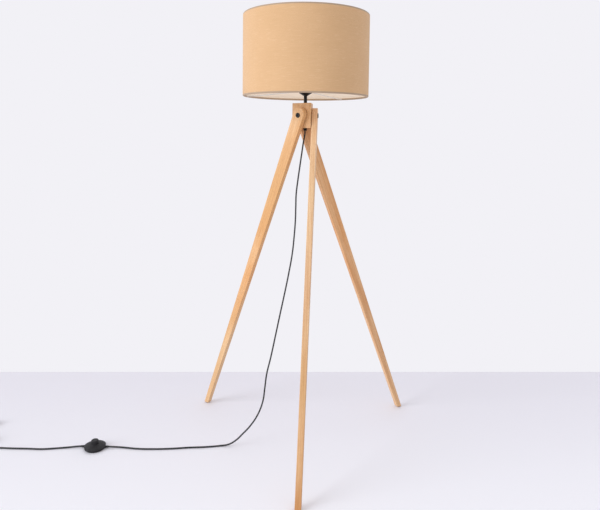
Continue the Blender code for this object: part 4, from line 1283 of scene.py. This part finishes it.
def on_switch(name, section, look, body, slot, *nodes, steps=72, closed=True, angle=35.0, matrix=None):
    piece = lathe(name, section, steps, closed)
    place(piece, matrix or SWITCH_AXIS)
    smooth(piece, angle)
    return hand_over(piece, look, body, slot, *nodes)


def make_switch():
    rim_low, dome_top = bottom_and_top("switch_shell")
    radius, opening, wall = 0.037, 0.0129, 0.002
    rise = dome_top - rim_low - 0.0006
    span = radius - opening - 0.0028
    shares = [i / 14 for i in range(15)]
    dome = [(radius - 0.0004, rim_low), (radius, rim_low + 0.0005)]
    dome += [(radius - span * t, rim_low + 0.0012 + (rise - 0.0012) * (1 - (1 - t) ** 1.6)) for t in shares]
    collar = [(opening + 0.0024, dome_top + 0.0002), (opening + 0.0018, dome_top + 0.0008)]
    collar += [(opening + 0.0005, dome_top + 0.0008), (opening, dome_top + 0.0003)]
    collar += [(opening, dome_top - 0.0030)]
    under = [(radius - wall - span * t, rim_low + (rise - wall) * (1 - (1 - t) ** 1.6)) for t in shares[::-1]]
    shell = on_switch(
        "switch_dome",
        dome + collar + under,
        SWITCH_PLASTIC,
        "hub_and_holder",
        "black_plastic",
        "switch_shell",
    )
    low, high = SWITCH_LOW.z, SWITCH_HIGH.z
    edge = (SWITCH_HIGH.x - SWITCH_LOW.x) / 2
    tray = [(edge - 0.0004, high), (edge, high - 0.0004), (edge, low + 0.0022)]
    tray += arc((edge - 0.002, low + 0.0020), 0.0020, 0, -90, 5)
    tray += [(0.0, low), (0.0, low + 0.002), (edge - 0.002, low + 0.002), (edge - 0.002, high)]
    base = on_switch(
        "switch_tray", tray, SWITCH_PLASTIC, "hub_and_holder", "black_plastic", "switch_base"
    )
    low, high = bottom_and_top("switch_button")
    button = [(0.0, high - 0.0006), (0.0060, high - 0.0004), (0.0090, high)]
    button += arc((0.0100, high - 0.0024), (0.0025, 0.0024), 80, 0, 6)
    button += [(0.0125, low), (0.0105, low), (0.0105, high - 0.005), (0.0, high - 0.005)]
    on_switch(
        "switch_button_cap", button, SWITCH_PLASTIC,
        "switch_button", "black_plastic", "switch_button", closed=False,
    )
    sleeves = []
    for sign, side in ((1, "in"), (-1, "out")):
        sleeve = [(0.0, 0.0290), (0.0042, 0.0290), (0.0042, 0.0375)]
        for i in range(3):
            start = 0.0385 + i * 0.0026
            wide = 0.0040 - 0.0002 * i
            sleeve += [(wide, start), (wide - 0.0004, start + 0.0004)]
            sleeve += [(wide - 0.0004, start + 0.0012), (wide - 0.0001, start + 0.0016)]
        sleeve += [(0.0034, 0.0476), (0.0031, 0.0489), (0.0, 0.0489)]
        sleeves.append(
            on_switch(
                f"switch_sleeve_{side}",
                sleeve,
                BLACK_RUBBER,
                "hub_and_holder",
                "black_rubber",
                f"switch_relief_{side}",
                steps=40,
                closed=False,
                matrix=Matrix.Translation((SWITCH_AT.x, SWITCH_AT.y, SWITCH_CORD_Z))
                @ Matrix.Rotation(sign * math.pi / 2, 4, "Y"),
            )
        )
    return [shell, base, *sleeves]


SWITCH_PIECES = make_switch()

# %% [markdown]
# ## Plug and strap
# The plug is a flat two-pin one, moulded in one with its ribbed sleeve. Its body starts as a box
# that is subdivided along its length; each ring of points is then made wider or narrower for the
# finger grip, and a subdivision surface rounds the whole. A soft strap holds the coil.

# %% Plug
PLUG_LOW, PLUG_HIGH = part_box("plug_body")
PLUG_AT = (PLUG_LOW + PLUG_HIGH) / 2
PLUG_SIZE = PLUG_HIGH - PLUG_LOW


def make_plug_body():
    fresh()
    bpy.ops.mesh.primitive_cube_add(size=1, location=(0, 0, 0))
    body = added("plug_moulding")
    body.scale = PLUG_SIZE
    place(body, Matrix.Identity(4))
    edit(body, "EDGE")
    pick(body, "edges", lambda e: abs(e.verts[0].co.y - e.verts[1].co.y) > PLUG_SIZE.y / 2)
    bpy.ops.mesh.subdivide(number_cuts=7)
    bpy.ops.mesh.select_mode(type="VERT")
    widths = (0.46, 0.58, 0.80, 0.93, 0.90, 0.93, 1.0, 1.0, 0.94)
    heights = (0.80, 0.86, 0.92, 0.93, 0.90, 0.94, 1.0, 1.0, 0.92)
    for i, (wide, high) in enumerate(zip(widths, heights)):
        along = PLUG_SIZE.y * (i / 8 - 0.5)
        bpy.ops.mesh.select_all(action="DESELECT")
        pick(body, "verts", lambda v: abs(v.co.y - along) < PLUG_SIZE.y / 30)
        bpy.ops.transform.resize(value=(wide, 1, high), center_override=(0, along, 0))
    place(body, Matrix.Translation(PLUG_AT))
    round_edges(body, 0.0026, 3, 50.0)
    modify(body, "SUBSURF", levels=1, render_levels=1)
    smooth(body, 60.0)
    return hand_over(body, BLACK_PLASTIC, "hub_and_holder", "black_plastic", "plug_body")


def make_plug_sleeve():
    low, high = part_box("plug_boot")
    length = high.y - low.y
    section = [(0.0, 0.0), (0.0034, 0.0), (0.0036, 0.0006)]
    ribs = 5
    for i in range(ribs):
        start = 0.0016 + i * (length - 0.005) / ribs
        wide = 0.0037 + 0.0010 * i / (ribs - 1)
        section += [(wide, start), (wide, start + 0.0012), (wide - 0.0006, start + 0.0016)]
        section += [(wide - 0.0006, start + 0.0022)]
    section += [(0.0048, length - 0.002), (0.0048, length), (0.0, length)]
    sleeve = lathe("plug_sleeve", section, 40, closed=False)
    place(sleeve, Matrix.Translation((PLUG_AT.x, low.y, PLUG_AT.z)) @ Matrix.Rotation(-math.pi / 2, 4, "X"))
    smooth(sleeve, 30.0)
    return hand_over(sleeve, BLACK_PLASTIC, "hub_and_holder", "black_plastic", "plug_boot")


def make_plug_pin(side):
    low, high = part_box(f"plug_pin_{side}")
    length, radius = high.y - low.y, 0.002
    section = [(0.0, 0.0), (radius, 0.0), (radius, length * 0.52), (radius - 0.00012, length * 0.53)]
    section += arc((0.0, length - radius), (radius - 0.00012, radius), 0, 90, 8)
    pin = lathe(f"plug_pin_{side}_sleeved", section, 32, closed=False)
    middle = (low + high) / 2
    place(pin, Matrix.Translation((middle.x, low.y, middle.z)) @ Matrix.Rotation(-math.pi / 2, 4, "X"))
    smooth(pin, 40.0)
    hand_over(pin, ZINC, "hub_and_holder", "zinc_steel", f"plug_pin_{side}")
    pin.data.materials.append(BLACK_PLASTIC)
    for face in pin.data.polygons:
        face.material_index = int(face.center.y < low.y + length * 0.525)
    return pin


PLUG_PIECES = [make_plug_body(), make_plug_sleeve(), make_plug_pin("a"), make_plug_pin("b")]


# %% Strap
def make_strap():
    """A strap once round the turns: a box without its ends, rounded and given a thickness."""
    azimuth = math.radians(35.0)
    inner = (0.0172 + 0.0018, 0.0090, 0.0115 + 0.0006)
    fresh()
    bpy.ops.mesh.primitive_cube_add(size=1, location=(0, 0, 0))
    strap = added("coil_strap")
    strap.scale = inner
    place(strap, Matrix.Identity(4))
    edit(strap, "EDGE")
    pick(strap, "edges", lambda e: abs(e.verts[0].co.y - e.verts[1].co.y) > 0.004)
    bpy.ops.mesh.bevel(offset=0.0018, segments=5)
    bpy.ops.mesh.select_mode(type="FACE")
    bpy.ops.mesh.select_all(action="DESELECT")
    pick(strap, "faces", lambda f: abs(f.normal.y) > 0.9)
    bpy.ops.mesh.delete(type="FACE")
    modify(strap, "SOLIDIFY", thickness=0.0009, offset=1.0, use_even_offset=True)
    round_edges(strap, 0.0002, 2, 40.0)
    out = Vector((math.cos(azimuth), math.sin(azimuth), 0))
    track = (COIL_HIGH.x - COIL_LOW.x) / 2 - 0.0086
    place(strap, Matrix.Translation(COIL_AT + out * track) @ Matrix.Rotation(azimuth, 4, "Z"))
    smooth(strap, 50.0)
    return hand_over(strap, BLACK_RUBBER, "hub_and_holder", "black_rubber", "cord_tie")


STRAP = make_strap()

# %% [markdown]
# ## The cord takes its place
# The cord stands for the plain tubes of the model.

# %% Cord
hand_over(cord, FLEX, "hub_and_holder", "cord", "cord_upper", "cord_lower", "cord_coil", "cord_tail")

# %% [markdown]
# ## What is left
# Small parts whose model is already right keep their own solids: washers, nuts, inserts, glides,
# the rod, and what is inside the switch and the holder. Each gets the finish of its slot.

# %% Finishes for the remaining parts
SLOT_FINISHES = {
    "beech": BEECH,
    "black_steel": BLACK_POWDER,
    "zinc_steel": ZINC,
    "brass": BRASS,
    "fibre": FIBRE,
    "glide_plastic": NYLON,
    "black_plastic": BLACK_PLASTIC,
    "black_rubber": BLACK_RUBBER,
    "cord": FLEX,
    "ceramic": CERAMIC,
    "white_plastic": WHITE_PLASTIC,
    "opal": OPAL,
    "white_steel": WHITE_POWDER,
    "shade_liner": LINING,
    "shade_fabric": CLOTH,
}
for part in frame["record"]["subparts"]:
    node = frame["nodes"][part["node"]]
    node.data.materials.clear()
    node.data.materials.append(SLOT_FINISHES[part["material_slot"]])
    if not node.hide_render:
        print("kept", part["node"], "in", part["material_slot"])

# %% Leave nothing selected
fresh()
